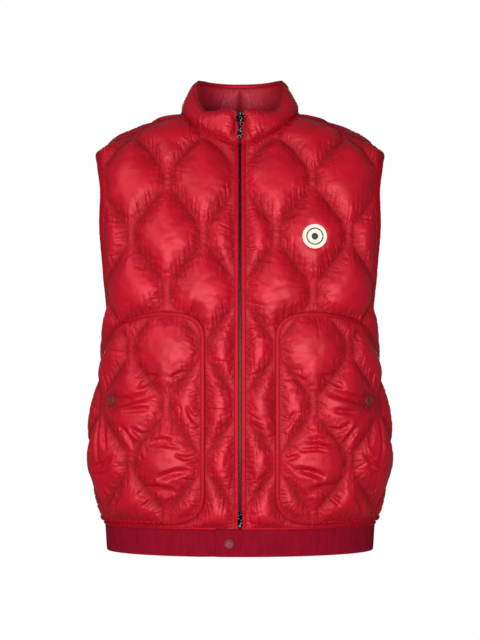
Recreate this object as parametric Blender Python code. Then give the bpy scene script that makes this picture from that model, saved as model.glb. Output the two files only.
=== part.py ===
"""A down vest on a hollow, filled-out figure, standing as it is worn.

The body is one form: flat ovals stacked from hem to shoulder (BODY). Each cloth
piece is drawn flat, as a maker cuts it, in millimetres: u runs along the girth
from the middle of the front or back, and v runs up. It is creased along its
quilting and stitch lines, given its wall, and bent round the form. X runs to
the wearer's left, -Y to the front and Z up, with zero at the base of the neck.
"""

import math

import bmesh
import bpy
import numpy as np
from mathutils import Matrix, Vector
from mathutils.geometry import delaunay_2d_cdt

MM = 0.001  # sizes below are millimetres, and the scene is in metres

# The form: v is the length up the cloth and z the height, which part company over the shoulders.
BODY_COLUMNS = ("v", "z", "half_width", "front", "back", "squareness")
BODY = (
    (62, 13, 16, 8, 46, 2.2),
    (50, 11, 50, 20, 56, 2.2),
    (34, 6, 88, 33, 66, 2.3),
    (12, -7, 130, 46, 73, 2.4),
    (-3, -19, 153, 56, 79, 2.5),
    (-24, -34, 180, 66, 86, 2.6),
    (-45, -48, 210, 73, 92, 2.7),
    (-54, -54, 219, 76, 95, 2.9),
    (-72, -72, 225, 82, 99, 3.1),
    (-120, -120, 228, 94, 107, 3.4),
    (-160, -160, 226, 101, 110, 3.6),
    (-239, -239, 213, 109, 110, 3.4),
    (-287, -287, 203, 112, 109, 3.1),
    (-330, -330, 202, 114, 108, 3.0),
    (-383, -383, 207, 115, 107, 3.0),
    (-431, -431, 214, 115, 108, 3.0),
    (-465, -465, 221, 115, 109, 3.0),
    (-501, -501, 224, 115, 109, 2.9),
    (-564, -564, 218, 112, 107, 2.6),
    (-600, -600, 210, 109, 105, 2.3),
    (-622, -622, 206, 107, 103, 2.1),
    (-664, -664, 203, 107, 103, 2.05),
)

# Cloth and seams.
SEAM_WALL = 3.0  # a quilted wall where it is stitched
SEAM_GAP = 0.2  # each side of a seam stands back by this
BUTT_GAP = 0.3  # between a tape and the cloth whose edge it meets
LAY_GAP = 0.5  # under a piece that lies on another, and round it
TAPE_RISE = 0.4  # how far a tape stands above the seam beside it
PUFF = 14.0  # how far a full cell stands above its stitching
PUFF_REACH = 11.0  # how quickly it rises from them
HEM_V = -622.0

# Quilting: columns of onion-shaped cells, joined by narrow necks.
COLUMN = 54.5  # from one column of cells to the next
NECK = 12.0  # width of a neck
NECK_TALL = 30.0
HALF_PERIOD = 84.7  # from the necks of one column to those of the next
NECK_V = -99.5  # height of the necks on the middle column
CELL_STEPS = (0.2, 0.5, 0.8)  # places across a cell that are raised

# Neck, armholes and shoulder seams.
NECK_OVAL = {"half_width": 88.0, "front": 70.0, "back": 64.0, "squareness": 2.3}
RIM_OVAL = {"half_width": 64.0, "front": 71.0, "back": 57.0, "squareness": 2.2}
RIM_COLUMNS = ("y", "z")
RIM = ((-71, 3), (-70.4, 8.5), (-68, 10.5), (-61, 7), (-47, 7), (-30, 23), (0, 56), (15, 67), (32, 68), (57, 63))
BASE_LIFT = 1.5  # the collar's base stands this far over the panels' neck edge
COLLAR_TALL = 55.0  # the collar's flat height, scaled to its rim
COLLAR_WAIST = 4.0  # how far its sides curve in between base and rim
COLLAR_PUFF = 6.5
COLLAR_REACH = 8.0
ARMHOLE = {"y": 2.0, "z": -170.5, "half_depth": 68.0, "half_height": 117.5, "squareness": 2.3}
ARMHOLE_BINDING = 7.0
SHOULDER_SEAM_Y = (-26.0, -22.0)  # at the neck and at the armhole

# Front edges and zip.
FRONT_EDGE = 8.5  # panel edge from the middle
STRIP = (2.0, 8.2)  # the flat tape beside the zip
STRIP_LOW = 0.2
TAPE = (0.35, 12.0)  # the zip's own tape, behind the panels
TAPE_DEEP = (-2.9, -1.7)
SLIDER_AT = 0.84  # share of the collar's height
SLIDER = {"wide": 11.0, "tall": 14.0, "plate": 2.2, "lift": 4.2, "bevel": 0.5}
CORE = {"wide": 2.0, "shorter": 3.0, "into_plate": 0.6, "low": -0.1}  # the web between the two tapes
EAR = {"out": 2.7, "thick": 1.3, "tall": 4.4, "long": 4.4, "sunk": 0.2, "bevel": 0.3}
PIN = {"radius": 0.9, "above_plate": 2.6}
EYE = {"radius": 2.3, "hole": 1.4, "half_width": 2.2}
PULL = {"thick": 1.8, "stem": 3.4, "ring_at": 11.0, "ring": 3.9, "ring_hole": 1.7, "end": 30.0, "flare": 4.8, "neck": 2.1}
ZIP_BOX = {"wide": 7.0, "tall": 22.0, "plate": 1.6, "bevel": 0.4, "v": -607.5}

# Pockets, as points (u, v): the sewn outline from the outer top corner round to the hem, then the hand opening.
POCKET_SEWN = (
    (179, -310), (150, -303), (122, -298), (95, -298.5), (77, -302), (63, -310), (55, -322),
    (52.5, -338), (52.5, -572), (55.5, -588), (64, -602), (78, -611), (94, -615.5),
)
POCKET_OPENING = ((282, -458), (274, -430), (262, -402), (246, -373), (225, -346), (202, -325))
POCKET_HEM_V = -616.0
POCKET_HEM_U = 104.0  # the hem's inner end, where the sewn outline meets it
POCKET_SIDE_GAP = 4.0  # the pocket stops this far from the side seam
POCKET_TAPE = 6.0
POCKET_PUFF = 11.0
GATHER_STEP = 3.4
GATHER_TALL = 1.4
POCKET_SNAP = {"u": 197.0, "v": -432.0}
SNAP_SEAT = 1.5  # the flat ring of cloth round a pocket's snap

# Waistband, snaps and patch.
BAND_V = (-622.6, -664.0)
BAND_WALL = 3.0
BAND_LAP = (-36.0, 22.0)  # over end and under end, measured along the front
BAND_DIP = 20.0  # length over which the under end steps inside
BAND_STEP = 14.0
SNAP = {"radius": 8.0, "tall": 2.6, "rim": 1.0, "dish_floor": 3.6, "dish_mouth": 4.8, "dish_deep": 0.8}
WAIST_SNAP = {"u": -16.0, "v": -644.0}
PATCH = {"u": 110.0, "v": -187.0, "radius": 18.5, "lift": 15.0, "thick": 1.4}

LOOKS = {
    "shell": ((0.55, 0.01, 0.03, 1), 0.35, 0.0),
    "tape": ((0.42, 0.01, 0.02, 1), 0.6, 0.0),
    "band": ((0.36, 0.01, 0.03, 1), 0.75, 0.0),
    "metal": ((0.06, 0.06, 0.065, 1), 0.35, 1.0),
    "snap": ((0.30, 0.03, 0.03, 1), 0.35, 0.3),
    "patch": ((0.90, 0.84, 0.72, 1), 0.8, 0.0),
}


# ---- the body's form ----

ROWS = {name: np.array([row[i] for row in BODY][::-1], float) for i, name in enumerate(BODY_COLUMNS)}
SLOPES = {name: np.gradient(values, ROWS["v"]) for name, values in ROWS.items()}
SHARES = np.linspace(0.0, 1.0, 121) ** 1.3
QUARTER = math.pi / 2 * SHARES / (SHARES + SHARES[::-1])  # closer together where an oval turns fastest
SECTIONS = {}


def at_height(name, v):
    """One column of BODY at v, on a smooth curve through its rows."""
    stations, values, slopes = ROWS["v"], ROWS[name], SLOPES[name]
    v = min(max(v, stations[0]), stations[-1])
    i = min(int(np.searchsorted(stations, v, "right")) - 1, len(stations) - 2)
    step = stations[i + 1] - stations[i]
    t = (v - stations[i]) / step
    return float(
        values[i] * (1 + 2 * t) * (1 - t) ** 2
        + values[i + 1] * t * t * (3 - 2 * t)
        + step * (slopes[i] * t * (1 - t) ** 2 - slopes[i + 1] * t * t * (1 - t))
    )


def v_at_z(z):
    """The length up the cloth at a height."""
    return float(np.interp(z, ROWS["z"], ROWS["v"]))


def section(v):
    """Half of the oval at v, from the middle of the front round to the middle of the back: x, y and length."""
    key = round(v, 3)
    if key not in SECTIONS:
        wide, power = at_height("half_width", v), 2 / at_height("squareness", v)
        side = wide * np.sin(QUARTER) ** power
        ahead = -at_height("front", v) * np.cos(QUARTER) ** power
        behind = at_height("back", v) * np.cos(QUARTER[::-1]) ** power
        x = np.concatenate([side, side[::-1][1:]])
        y = np.concatenate([ahead, behind[1:]])
        length = np.concatenate([[0], np.cumsum(np.hypot(np.diff(x), np.diff(y)))])
        SECTIONS[key] = (x, y, length)
    return SECTIONS[key]


def half_girth(v):
    return float(section(v)[2][-1])


def side_length(v):
    """Length from the middle of the front to the side seam."""
    return float(section(v)[2][len(QUARTER) - 1])


def girth_at_y(v, y, x=None):
    """Length from the middle of the front to where the oval at v passes y, or to the direction of x and y."""
    power = at_height("squareness", v) / 2
    share_y = min(abs(y) / at_height("front" if y < 0 else "back", v), 1.0) ** power
    share_x = math.sqrt(1 - share_y**2) if x is None else (abs(x) / at_height("half_width", v)) ** power
    turned = math.atan2(share_x, share_y)
    length = section(v)[2]
    if y < 0:
        return float(np.interp(turned, QUARTER, length[: len(QUARTER)]))
    return float(np.interp(math.pi - turned, QUARTER + math.pi / 2, length[len(QUARTER) - 1 :]))


def body_point(u, v):
    x, y, length = section(v)
    reach = abs(u)
    return Vector((
        math.copysign(float(np.interp(reach, length, x)), u),
        float(np.interp(reach, length, y)),
        at_height("z", v),
    ))


def placed(point, u, v, step=1.5):
    """A point of a form and its outward direction there."""
    along = point(u + step, v) - point(u - step, v)
    up = point(u, v + step) - point(u, v - step)
    return point(u, v), along.cross(up).normalized()


def on_front(u, v):
    return placed(body_point, u, v)


def back_point(u, v):
    """The same form, with u from the middle of the back and +u to the wearer's left."""
    return body_point(math.copysign(half_girth(v) - abs(u), u), v)


def on_back(u, v):
    spot, outward = placed(back_point, u, v)
    return spot, -outward


def v_under(x, y):
    """The v at which the form passes over a point of the plan."""
    low, high = -140.0, ROWS["v"][-1]
    for _ in range(40):
        v = (low + high) / 2
        power = at_height("squareness", v)
        depth = at_height("front" if y < 0 else "back", v)
        inside = (abs(x) / at_height("half_width", v)) ** power + (abs(y) / depth) ** power < 1
        low, high = (v, high) if inside else (low, v)
    return (low + high) / 2


# ---- neck, shoulder seam and armhole, as points (u from the front's middle, v) of the form ----


def oval_xy(oval, angle):
    """A point of a plan oval, from the middle of the back (0) to the middle of the front (pi)."""
    power = 2 / oval["squareness"]
    depth = oval["back"] if math.cos(angle) > 0 else oval["front"]
    return (
        oval["half_width"] * abs(math.sin(angle)) ** power,
        math.copysign(depth * abs(math.cos(angle)) ** power, math.cos(angle)),
    )


def neck_uv(angle):
    x, y = oval_xy(NECK_OVAL, angle)
    v = v_under(x, y)
    return girth_at_y(v, y, x), v


def neck_angle_at_y(y):
    """Angle on the neck oval's front half where it passes y."""
    share = (-y / NECK_OVAL["front"]) ** (NECK_OVAL["squareness"] / 2)
    return math.pi - math.acos(share)


def armhole_uv(angle, grow):
    """A point of the armhole: angle 0 at its back edge, a quarter turn at its top and a half turn in front."""
    power = 2 / ARMHOLE["squareness"]
    c, s = math.cos(angle), math.sin(angle)
    y = ARMHOLE["y"] + (ARMHOLE["half_depth"] + grow) * math.copysign(abs(c) ** power, c)
    z = ARMHOLE["z"] + (ARMHOLE["half_height"] + grow) * math.copysign(abs(s) ** power, s)
    v = v_at_z(z)
    return girth_at_y(v, y), v


def armhole_angle_at_y(y, grow):
    share = (y - ARMHOLE["y"]) / (ARMHOLE["half_depth"] + grow)
    return math.acos(math.copysign(abs(share) ** (ARMHOLE["squareness"] / 2), share))


def shoulder_seam(steps=7):
    """From the neck to the armhole."""
    x0, y0 = oval_xy(NECK_OVAL, neck_angle_at_y(SHOULDER_SEAM_Y[0]))
    u1, v1 = armhole_uv(armhole_angle_at_y(SHOULDER_SEAM_Y[1], ARMHOLE_BINDING), ARMHOLE_BINDING)
    x1 = body_point(u1, v1).x
    seam = []
    for t in np.linspace(0, 1, steps + 1)[:-1]:
        x, y = x0 + (x1 - x0) * t, y0 + (SHOULDER_SEAM_Y[1] - y0) * t
        v = v_under(x, y)
        seam.append((girth_at_y(v, y, x), v))
    return seam


def v_steps(high, low, spacing=27.0):
    return np.linspace(high, low, max(2, round(abs(high - low) / spacing) + 1))


def front_outline():
    """Up the front edge, round the neck, along the shoulder, down the armhole and the side, and along the hem."""
    edge_angle = math.pi - math.asin((FRONT_EDGE / NECK_OVAL["half_width"]) ** (NECK_OVAL["squareness"] / 2))
    neck = [neck_uv(a) for a in np.linspace(edge_angle, neck_angle_at_y(SHOULDER_SEAM_Y[0]), 10)[:-1]]
    front_edge = [(FRONT_EDGE, v) for v in v_steps(HEM_V, neck[0][1])[:-1]]
    top = armhole_angle_at_y(SHOULDER_SEAM_Y[1], ARMHOLE_BINDING)
    armhole = [armhole_uv(a, ARMHOLE_BINDING) for a in np.linspace(top, 1.5 * math.pi, 17)[:-1]]
    bottom_v = v_at_z(ARMHOLE["z"] - ARMHOLE["half_height"] - ARMHOLE_BINDING)
    side = [(side_length(v), v) for v in v_steps(bottom_v, HEM_V)]
    hem = [(u, HEM_V) for u in np.linspace(side[-1][0], FRONT_EDGE, 12)[1:-1]]
    return inset(front_edge + neck + shoulder_seam() + armhole + side + hem, SEAM_GAP)


def back_outline():
    """The wearer's left half from the middle of the neck to the middle of the hem, then the other half."""
    neck = [neck_uv(a) for a in np.linspace(0, neck_angle_at_y(SHOULDER_SEAM_Y[0]), 16)[:-1]]
    top = armhole_angle_at_y(SHOULDER_SEAM_Y[1], ARMHOLE_BINDING)
    armhole = [armhole_uv(a, ARMHOLE_BINDING) for a in np.linspace(top, -0.5 * math.pi, 21)[:-1]]
    bottom_v = v_at_z(ARMHOLE["z"] - ARMHOLE["half_height"] - ARMHOLE_BINDING)
    side = [(side_length(v), v) for v in v_steps(bottom_v, HEM_V)]
    hem = [(u, HEM_V) for u in np.linspace(side[-1][0], half_girth(HEM_V), 12)[1:]]
    half = [(half_girth(v) - u, v) for u, v in neck + shoulder_seam() + armhole + side + hem]
    other = [(-u, v) for u, v in half[-2:0:-1]]
    return inset(half + other, SEAM_GAP)


# ---- flat drawing ----


def inset(loop, distance):
    """A closed outline moved inwards."""
    turns = sum(a[0] * b[1] - b[0] * a[1] for a, b in zip(loop, loop[1:] + loop[:1], strict=True))
    inward = math.copysign(distance, turns)
    moved = []
    for before, here, after in zip(loop[-1:] + loop[:-1], loop, loop[1:] + loop[:1], strict=True):
        a = Vector((here[0] - before[0], here[1] - before[1])).normalized()
        b = Vector((after[0] - here[0], after[1] - here[1])).normalized()
        across = Vector((-a.y - b.y, a.x + b.x))
        across *= 2 / max(across.length_squared, 1.0)
        moved.append((here[0] + inward * across.x, here[1] + inward * across.y))
    return moved


def spaced(path, spacing):
    """The path with points added so that none are further apart."""
    points = [path[0]]
    for a, b in zip(path, path[1:]):
        parts = max(1, math.ceil(math.dist(a, b) / spacing))
        points += [(a[0] + (b[0] - a[0]) * i / parts, a[1] + (b[1] - a[1]) * i / parts) for i in range(1, parts + 1)]
    return points


def distance_to(paths, u, v):
    """Distance from a flat point to the nearest of some polylines."""
    nearest = math.inf
    for starts, ways, squares in paths:
        du, dv = u - starts[:, 0], v - starts[:, 1]
        along = np.clip((du * ways[:, 0] + dv * ways[:, 1]) / squares, 0, 1)
        nearest = min(nearest, float(np.min(np.hypot(du - along * ways[:, 0], dv - along * ways[:, 1]))))
    return nearest


def measured(path):
    """A polyline as distance_to reads it."""
    points = np.array(path, float)
    ways = points[1:] - points[:-1]
    return points[:-1], ways, np.maximum((ways**2).sum(axis=1), 1e-9)


def inside(loop, u, v):
    crossed = False
    for (u0, v0), (u1, v1) in zip(loop, loop[1:] + loop[:1]):
        if (v0 > v) != (v1 > v) and u < u0 + (v - v0) * (u1 - u0) / (v1 - v0):
            crossed = not crossed
    return crossed


def closed_path(loop):
    return loop + loop[:1]


def quilt_swing(v):
    """-1 beside the necks of the even columns, 1 beside those of the odd ones, straight between."""
    phase = ((v - NECK_V) / HALF_PERIOD) % 2
    phase = min(phase, 2 - phase)
    flat = NECK_TALL / 2 / HALF_PERIOD
    return -1 + 2 * min(max((phase - flat) / (1 - 2 * flat), 0), 1)


def quilt_u(line, v):
    """Where the numbered stitch line runs, between columns of cells."""
    swing = (COLUMN / 2 - NECK / 2) * quilt_swing(v)
    return (line + 0.5) * COLUMN + (swing if line % 2 == 0 else -swing)


def quilt_rows(low, high):
    """Heights where the lines bend, and one between."""
    first, last = (math.floor((v - NECK_V) / HALF_PERIOD) for v in (low, high))
    rows = []
    for k in range(first - 1, last + 2):
        node = NECK_V + k * HALF_PERIOD
        rows += [node - NECK_TALL / 2, node + NECK_TALL / 2, node + HALF_PERIOD / 2]
    return [v for v in sorted(rows) if low - 30 < v < high + 30]


class Cloth:
    """A flat piece, creased along its stitch lines and cut into triangles."""

    def __init__(self, outline, stitched=(), columns=range(0, 6), clear=7.0):
        self.outline = outline
        low, high = min(v for _, v in outline), max(v for _, v in outline)
        rows = quilt_rows(low, high)
        lines = [[(quilt_u(n, v), v) for v in rows] for n in columns]
        self.stitches = [measured(p) for p in lines + list(stitched) + [closed_path(outline)]]
        edges = [measured(p) for p in list(stitched) + [closed_path(outline)]]
        points = []
        for n in columns:
            for v in rows:
                left, right = quilt_u(n, v), quilt_u(n + 1, v)
                points += [(left + (right - left) * share, v) for share in CELL_STEPS]
        points = [p for p in points if inside(outline, *p) and distance_to(edges, *p) > clear]
        self.triangulate(points, lines + list(stitched))

    def triangulate(self, points, creases):
        flat, joins = [Vector(p) for p in points], []
        for path in creases + [closed_path(self.outline)]:
            start = len(flat)
            flat += [Vector(p) for p in path]
            joins += [(i, i + 1) for i in range(start, len(flat) - 1)]
        made, _, faces, *_ = delaunay_2d_cdt(flat, joins, [], 0, 1e-3, False)
        self.points = [(p.x, p.y) for p in made]
        self.faces = []
        for face in faces:
            corners = [self.points[i] for i in face]
            if inside(self.outline, sum(p[0] for p in corners) / 3, sum(p[1] for p in corners) / 3):
                self.faces.append(face)

    def within(self, loop):
        """The triangles inside a loop that was one of the creases."""
        chosen = []
        for face in self.faces:
            corners = [self.points[i] for i in face]
            if inside(loop, sum(p[0] for p in corners) / 3, sum(p[1] for p in corners) / 3):
                chosen.append(face)
        return chosen

    def puff(self, u, v, rise=PUFF, reach=PUFF_REACH):
        """How far the filling stands above the stitching."""
        return rise * (1 - math.exp(-distance_to(self.stitches, u, v) / reach))


# ---- making objects ----


def clear_scene():
    for thing in list(bpy.data.objects):
        bpy.data.objects.remove(thing)


def material(name):
    found = bpy.data.materials.get(name)
    if found is None:
        colour, roughness, metallic = LOOKS[name]
        found = bpy.data.materials.new(name)
        found.use_nodes = True
        shader = found.node_tree.nodes["Principled BSDF"]
        shader.inputs["Base Color"].default_value = colour
        shader.inputs["Roughness"].default_value = roughness
        shader.inputs["Metallic"].default_value = metallic
    return found


def add_object(name, bm, look, smooth=True):
    """A named piece from a mesh in millimetres."""
    bmesh.ops.recalc_face_normals(bm, faces=bm.faces)
    bmesh.ops.scale(bm, verts=bm.verts, vec=(MM, MM, MM))
    mesh = bpy.data.meshes.new(name)
    bm.to_mesh(mesh)
    bm.free()
    mesh.materials.append(material(look))
    if smooth:
        mesh.shade_smooth()
        mesh.set_sharp_from_angle(angle=math.radians(50))
    piece = bpy.data.objects.new(name, mesh)
    bpy.data.collections["puffer_vest"].objects.link(piece)
    return piece


def cloth_layer(name, points, faces, place, bottom, top, look, mirrored=False):
    """A closed wall between two heights over the form, from flat triangles."""
    bm = bmesh.new()
    used = sorted({i for face in faces for i in face})
    inner, outer = {}, {}
    for i in used:
        u, v = points[i]
        spot, outward = place(u, v)
        for verts, height in ((inner, bottom(u, v)), (outer, top(u, v))):
            corner = spot + outward * height
            if mirrored:
                corner.x = -corner.x
            verts[i] = bm.verts.new(corner)
    open_edges = set()
    for face in faces:
        bm.faces.new([outer[i] for i in face])
        bm.faces.new([inner[i] for i in reversed(face)])
        for a, b in zip(face, face[1:] + face[:1]):
            if (b, a) in open_edges:
                open_edges.remove((b, a))
            else:
                open_edges.add((a, b))
    for a, b in sorted(open_edges):
        bm.faces.new([outer[b], outer[a], inner[a], inner[b]])
    return add_object(name, bm, look)


def swept(name, sections, look, closed=False, mirrored=False):
    """A strip through sections of like corners, capped unless it closes on itself."""
    bm = bmesh.new()
    rings = []
    for corners in sections:
        rings.append([bm.verts.new((-p.x if mirrored else p.x, p.y, p.z)) for p in corners])
    pairs = list(zip(rings, rings[1:]))
    if closed:
        pairs.append((rings[-1], rings[0]))
    else:
        bm.faces.new(rings[0][::-1])
        bm.faces.new(rings[-1])
    for one, two in pairs:
        for i, corner in enumerate(one):
            j = (i + 1) % len(one)
            bm.faces.new([corner, one[j], two[j], two[i]])
    return add_object(name, bm, look)


def strip_corners(place, edge_a, edge_b, low, high):
    """The four corners of a strip between two flat points, from one height to another."""
    spot_a, out_a = place(*edge_a)
    spot_b, out_b = place(*edge_b)
    return [spot_a + out_a * low, spot_b + out_b * low, spot_b + out_b * high, spot_a + out_a * high]


def frame_at(place, u, v, height=0.0):
    """A matrix with x across, y up the cloth and z outward, standing at a point of the form."""
    spot, outward = place(u, v)
    up = (place(u, v + 2)[0] - place(u, v - 2)[0]).normalized()
    across = up.cross(outward).normalized()
    up = outward.cross(across)
    axes = Matrix((across, up, outward)).transposed().to_4x4()
    return Matrix.Translation(spot + outward * height) @ axes


def block(size, centre, bevel=0.0):
    bm = bmesh.new()
    bmesh.ops.create_cube(bm, size=1.0)
    bmesh.ops.scale(bm, verts=bm.verts, vec=size)
    bmesh.ops.translate(bm, verts=bm.verts, vec=centre)
    if bevel:
        bmesh.ops.bevel(bm, geom=bm.edges, offset=bevel, segments=1, profile=0.5, affect="EDGES", material=-1)
    return bm


def drum(radius, length, centre, axis="Z", segments=20, far_radius=None):
    """A cylinder or a cone, along one axis."""
    bm = bmesh.new()
    far = radius if far_radius is None else far_radius
    bmesh.ops.create_cone(bm, cap_ends=True, segments=segments, radius1=radius, radius2=far, depth=length)
    if axis == "X":
        bmesh.ops.rotate(bm, verts=bm.verts, matrix=Matrix.Rotation(math.pi / 2, 3, "Y"))
    bmesh.ops.translate(bm, verts=bm.verts, vec=centre)
    return bm


def combined(name, first, others, look, frame):
    """A piece from shapes in its own axes, added or cut in turn, then set in its place."""
    piece = add_object(name, first, look, smooth=False)
    for operation, shape in others:
        tool = add_object(name + "_tool", shape, look, smooth=False)
        change = piece.modifiers.new("shape", "BOOLEAN")
        change.operation = operation
        change.object = tool
        graph = bpy.context.evaluated_depsgraph_get()
        shaped = bpy.data.meshes.new_from_object(piece.evaluated_get(graph))
        piece.modifiers.clear()
        piece.data = shaped
        bpy.data.objects.remove(tool)
    piece.data.name = name
    placing = frame.copy()
    placing.translation *= MM
    piece.matrix_world = placing
    return piece


# ---- the pieces ----


def pocket_outline():
    """The whole pocket, flat: its sewn edge, the hem, the side and the hand opening."""
    hem_end = side_length(POCKET_HEM_V) - POCKET_SIDE_GAP
    side = [(side_length(v) - POCKET_SIDE_GAP, v) for v in v_steps(POCKET_HEM_V, POCKET_OPENING[0][1], 24)]
    sewn = spaced([*POCKET_SEWN, (POCKET_HEM_U, POCKET_HEM_V)], 16)
    hem = spaced([(POCKET_HEM_U, POCKET_HEM_V), (hem_end, POCKET_HEM_V)], GATHER_STEP)[1:-1]
    opening = spaced([*POCKET_OPENING, POCKET_SEWN[0]], 14)[:-1]
    return sewn, hem, side, opening


def circle(centre, radius, segments):
    turn = 2 * math.pi / segments
    return [
        (centre["u"] + radius * math.cos(turn * i), centre["v"] + radius * math.sin(turn * i))
        for i in range(segments)
    ]


def build_front(side):
    """One front and what lies on it."""
    mirrored = side == "right"
    sewn, hem, outer_side, opening = pocket_outline()
    pocket = sewn + hem + outer_side + opening
    coarse_hem = spaced([hem[0], hem[-1]], 20)
    edge = sewn + coarse_hem + outer_side + opening
    field = inset(edge, POCKET_TAPE + BUTT_GAP)
    snap_ring = circle(POCKET_SNAP, SNAP["radius"] + SNAP_SEAT, 16)
    stitched = [closed_path(edge), closed_path(field), closed_path(snap_ring)]
    patch = [] if mirrored else circle(PATCH, PATCH["radius"], 24)
    if patch:
        stitched.append(closed_path(patch))
    cloth = Cloth(front_outline(), stitched)
    if patch:
        cloth.stitches.pop(-2)  # the patch is laid on a full cell, not stitched through it
    under = inset(pocket, -LAY_GAP)

    def outer_height(u, v):
        if inside(under, u, v):
            return SEAM_WALL
        if patch and math.dist((u, v), (PATCH["u"], PATCH["v"])) < PATCH["radius"] + LAY_GAP:
            return PATCH["lift"]
        return SEAM_WALL + cloth.puff(u, v)

    cloth_layer(
        f"front_{side}", cloth.points, cloth.faces, on_front, lambda u, v: 0.0, outer_height, "shell", mirrored
    )
    base = SEAM_WALL + LAY_GAP

    def pocket_height(u, v):
        from_snap = math.dist((u, v), (POCKET_SNAP["u"], POCKET_SNAP["v"]))
        under_snap = from_snap < SNAP["radius"] + SNAP_SEAT + SEAM_GAP
        return base + SEAM_WALL + (0.0 if under_snap else cloth.puff(u, v, POCKET_PUFF))

    cloth_layer(
        f"pocket_{side}",
        cloth.points,
        cloth.within(field),
        on_front,
        lambda u, v: base,
        pocket_height,
        "shell",
        mirrored,
    )
    if patch:
        low = PATCH["lift"] + LAY_GAP
        cloth_layer(
            "chest_patch",
            cloth.points,
            cloth.within(patch),
            on_front,
            lambda u, v: low,
            lambda u, v: low + PATCH["thick"],
            "patch",
        )

    inner_edge = inset(pocket, POCKET_TAPE)
    top = base + SEAM_WALL + TAPE_RISE
    binding = []
    for i in range(len(sewn) + len(hem)):
        gathered = GATHER_TALL * (i % 2) if i >= len(sewn) else 0.0
        binding.append(strip_corners(on_front, pocket[i], inner_edge[i], base, top + gathered))
    swept(f"pocket_binding_{side}", binding, "tape", mirrored=mirrored)

    first = len(sewn) + len(hem) + len(outer_side)
    lip = [strip_corners(on_front, pocket[i], inner_edge[i], base, top) for i in range(first, len(pocket))]
    swept(f"pocket_edge_{side}", lip, "tape", mirrored=mirrored)


def build_back():
    cloth = Cloth(back_outline(), columns=range(-7, 7))
    cloth_layer(
        "back", cloth.points, cloth.faces, on_back, lambda u, v: 0.0, lambda u, v: SEAM_WALL + cloth.puff(u, v), "shell"
    )


class Collar:
    """The stand collar's form: s along its base from the middle of the back, t from base to rim."""

    def __init__(self, samples=120):
        base, rim = [], []
        heights = {name: [row[i] for row in RIM] for i, name in enumerate(RIM_COLUMNS)}
        for i in range(samples + 1):
            angle = math.pi * i / samples
            u, v = neck_uv(angle)
            spot, outward = on_front(u, v)
            base.append(spot + Vector((0, 0, BASE_LIFT + SEAM_WALL * max(outward.z, 0))))
            x, y = oval_xy(RIM_OVAL, angle)
            rim.append((x, y, float(np.interp(y, heights["y"], heights["z"]))))
        self.base, self.rim = np.array(base), np.array(rim)
        self.base[0, 0] = self.base[-1, 0] = 0.0
        self.lengths = np.concatenate([[0], np.cumsum(np.linalg.norm(np.diff(self.base, axis=0), axis=1))])
        self.reach = float(self.lengths[-1])
        self.front = self.reach - FRONT_EDGE

    def point(self, s, t):
        low = np.array([np.interp(abs(s), self.lengths, self.base[:, i]) for i in range(3)])
        high = np.array([np.interp(abs(s), self.lengths, self.rim[:, i]) for i in range(3)])
        share = t / COLLAR_TALL
        spot = low + (high - low) * share
        spot[0] -= COLLAR_WAIST * low[0] / NECK_OVAL["half_width"] * 4 * share * (1 - share)
        return Vector((math.copysign(spot[0], s), spot[1], spot[2]))

    def place(self, s, t):
        spot, outward = placed(self.point, s, t)
        return spot, -outward


def build_collar(collar):
    around = spaced([(-collar.front, 0), (collar.front, 0)], 16)
    outline = around + spaced([(collar.front, 0), (collar.front, COLLAR_TALL)], 14)[1:]
    outline += [(s, COLLAR_TALL) for s, _ in around[::-1][1:]] + spaced(
        [(-collar.front, COLLAR_TALL), (-collar.front, 0)], 14
    )[1:-1]
    cloth = Cloth(outline, columns=range(0))
    points = [(s, COLLAR_TALL * share) for s, _ in around[1:-1] for share in (0.12, 0.34, 0.66, 0.88)]
    cloth.triangulate(points, [])
    cloth_layer(
        "collar",
        cloth.points,
        cloth.faces,
        collar.place,
        lambda s, t: 0.0,
        lambda s, t: SEAM_WALL + cloth.puff(s, t, COLLAR_PUFF, COLLAR_REACH),
        "shell",
    )


def zip_line(collar, edges, low, high):
    """Sections up the middle of the front and of the collar, between two distances from the middle."""
    neck_v = neck_uv(math.pi)[1]
    sections = []
    for v in v_steps(HEM_V, neck_v - 4, 20):
        sections.append(strip_corners(on_front, (edges[0], v), (edges[1], v), low, high))
    for t in np.linspace(4, COLLAR_TALL, 5):
        near, far = (collar.reach - edge for edge in edges)
        sections.append(strip_corners(collar.place, (near, t), (far, t), low, high))
    return sections


def build_front_edges(collar):
    for side in ("left", "right"):
        mirrored = side == "right"
        strip = zip_line(collar, STRIP, STRIP_LOW, SEAM_WALL + TAPE_RISE)
        swept(f"front_binding_{side}", strip, "tape", mirrored=mirrored)
        tape = zip_line(collar, TAPE, *TAPE_DEEP)
        swept(f"zip_tape_{side}", tape, "tape", mirrored=mirrored)


def build_armholes():
    turns = 56
    for side in ("left", "right"):
        sections = []
        for i in range(turns):
            angle = 2 * math.pi * i / turns
            cut = armhole_uv(angle, ARMHOLE_BINDING - BUTT_GAP)
            opening = armhole_uv(angle, 0.0)
            sections.append(strip_corners(on_front, cut, opening, -TAPE_RISE, SEAM_WALL + TAPE_RISE))
        swept(f"armhole_binding_{side}", sections, "tape", closed=True, mirrored=side == "right")


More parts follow.
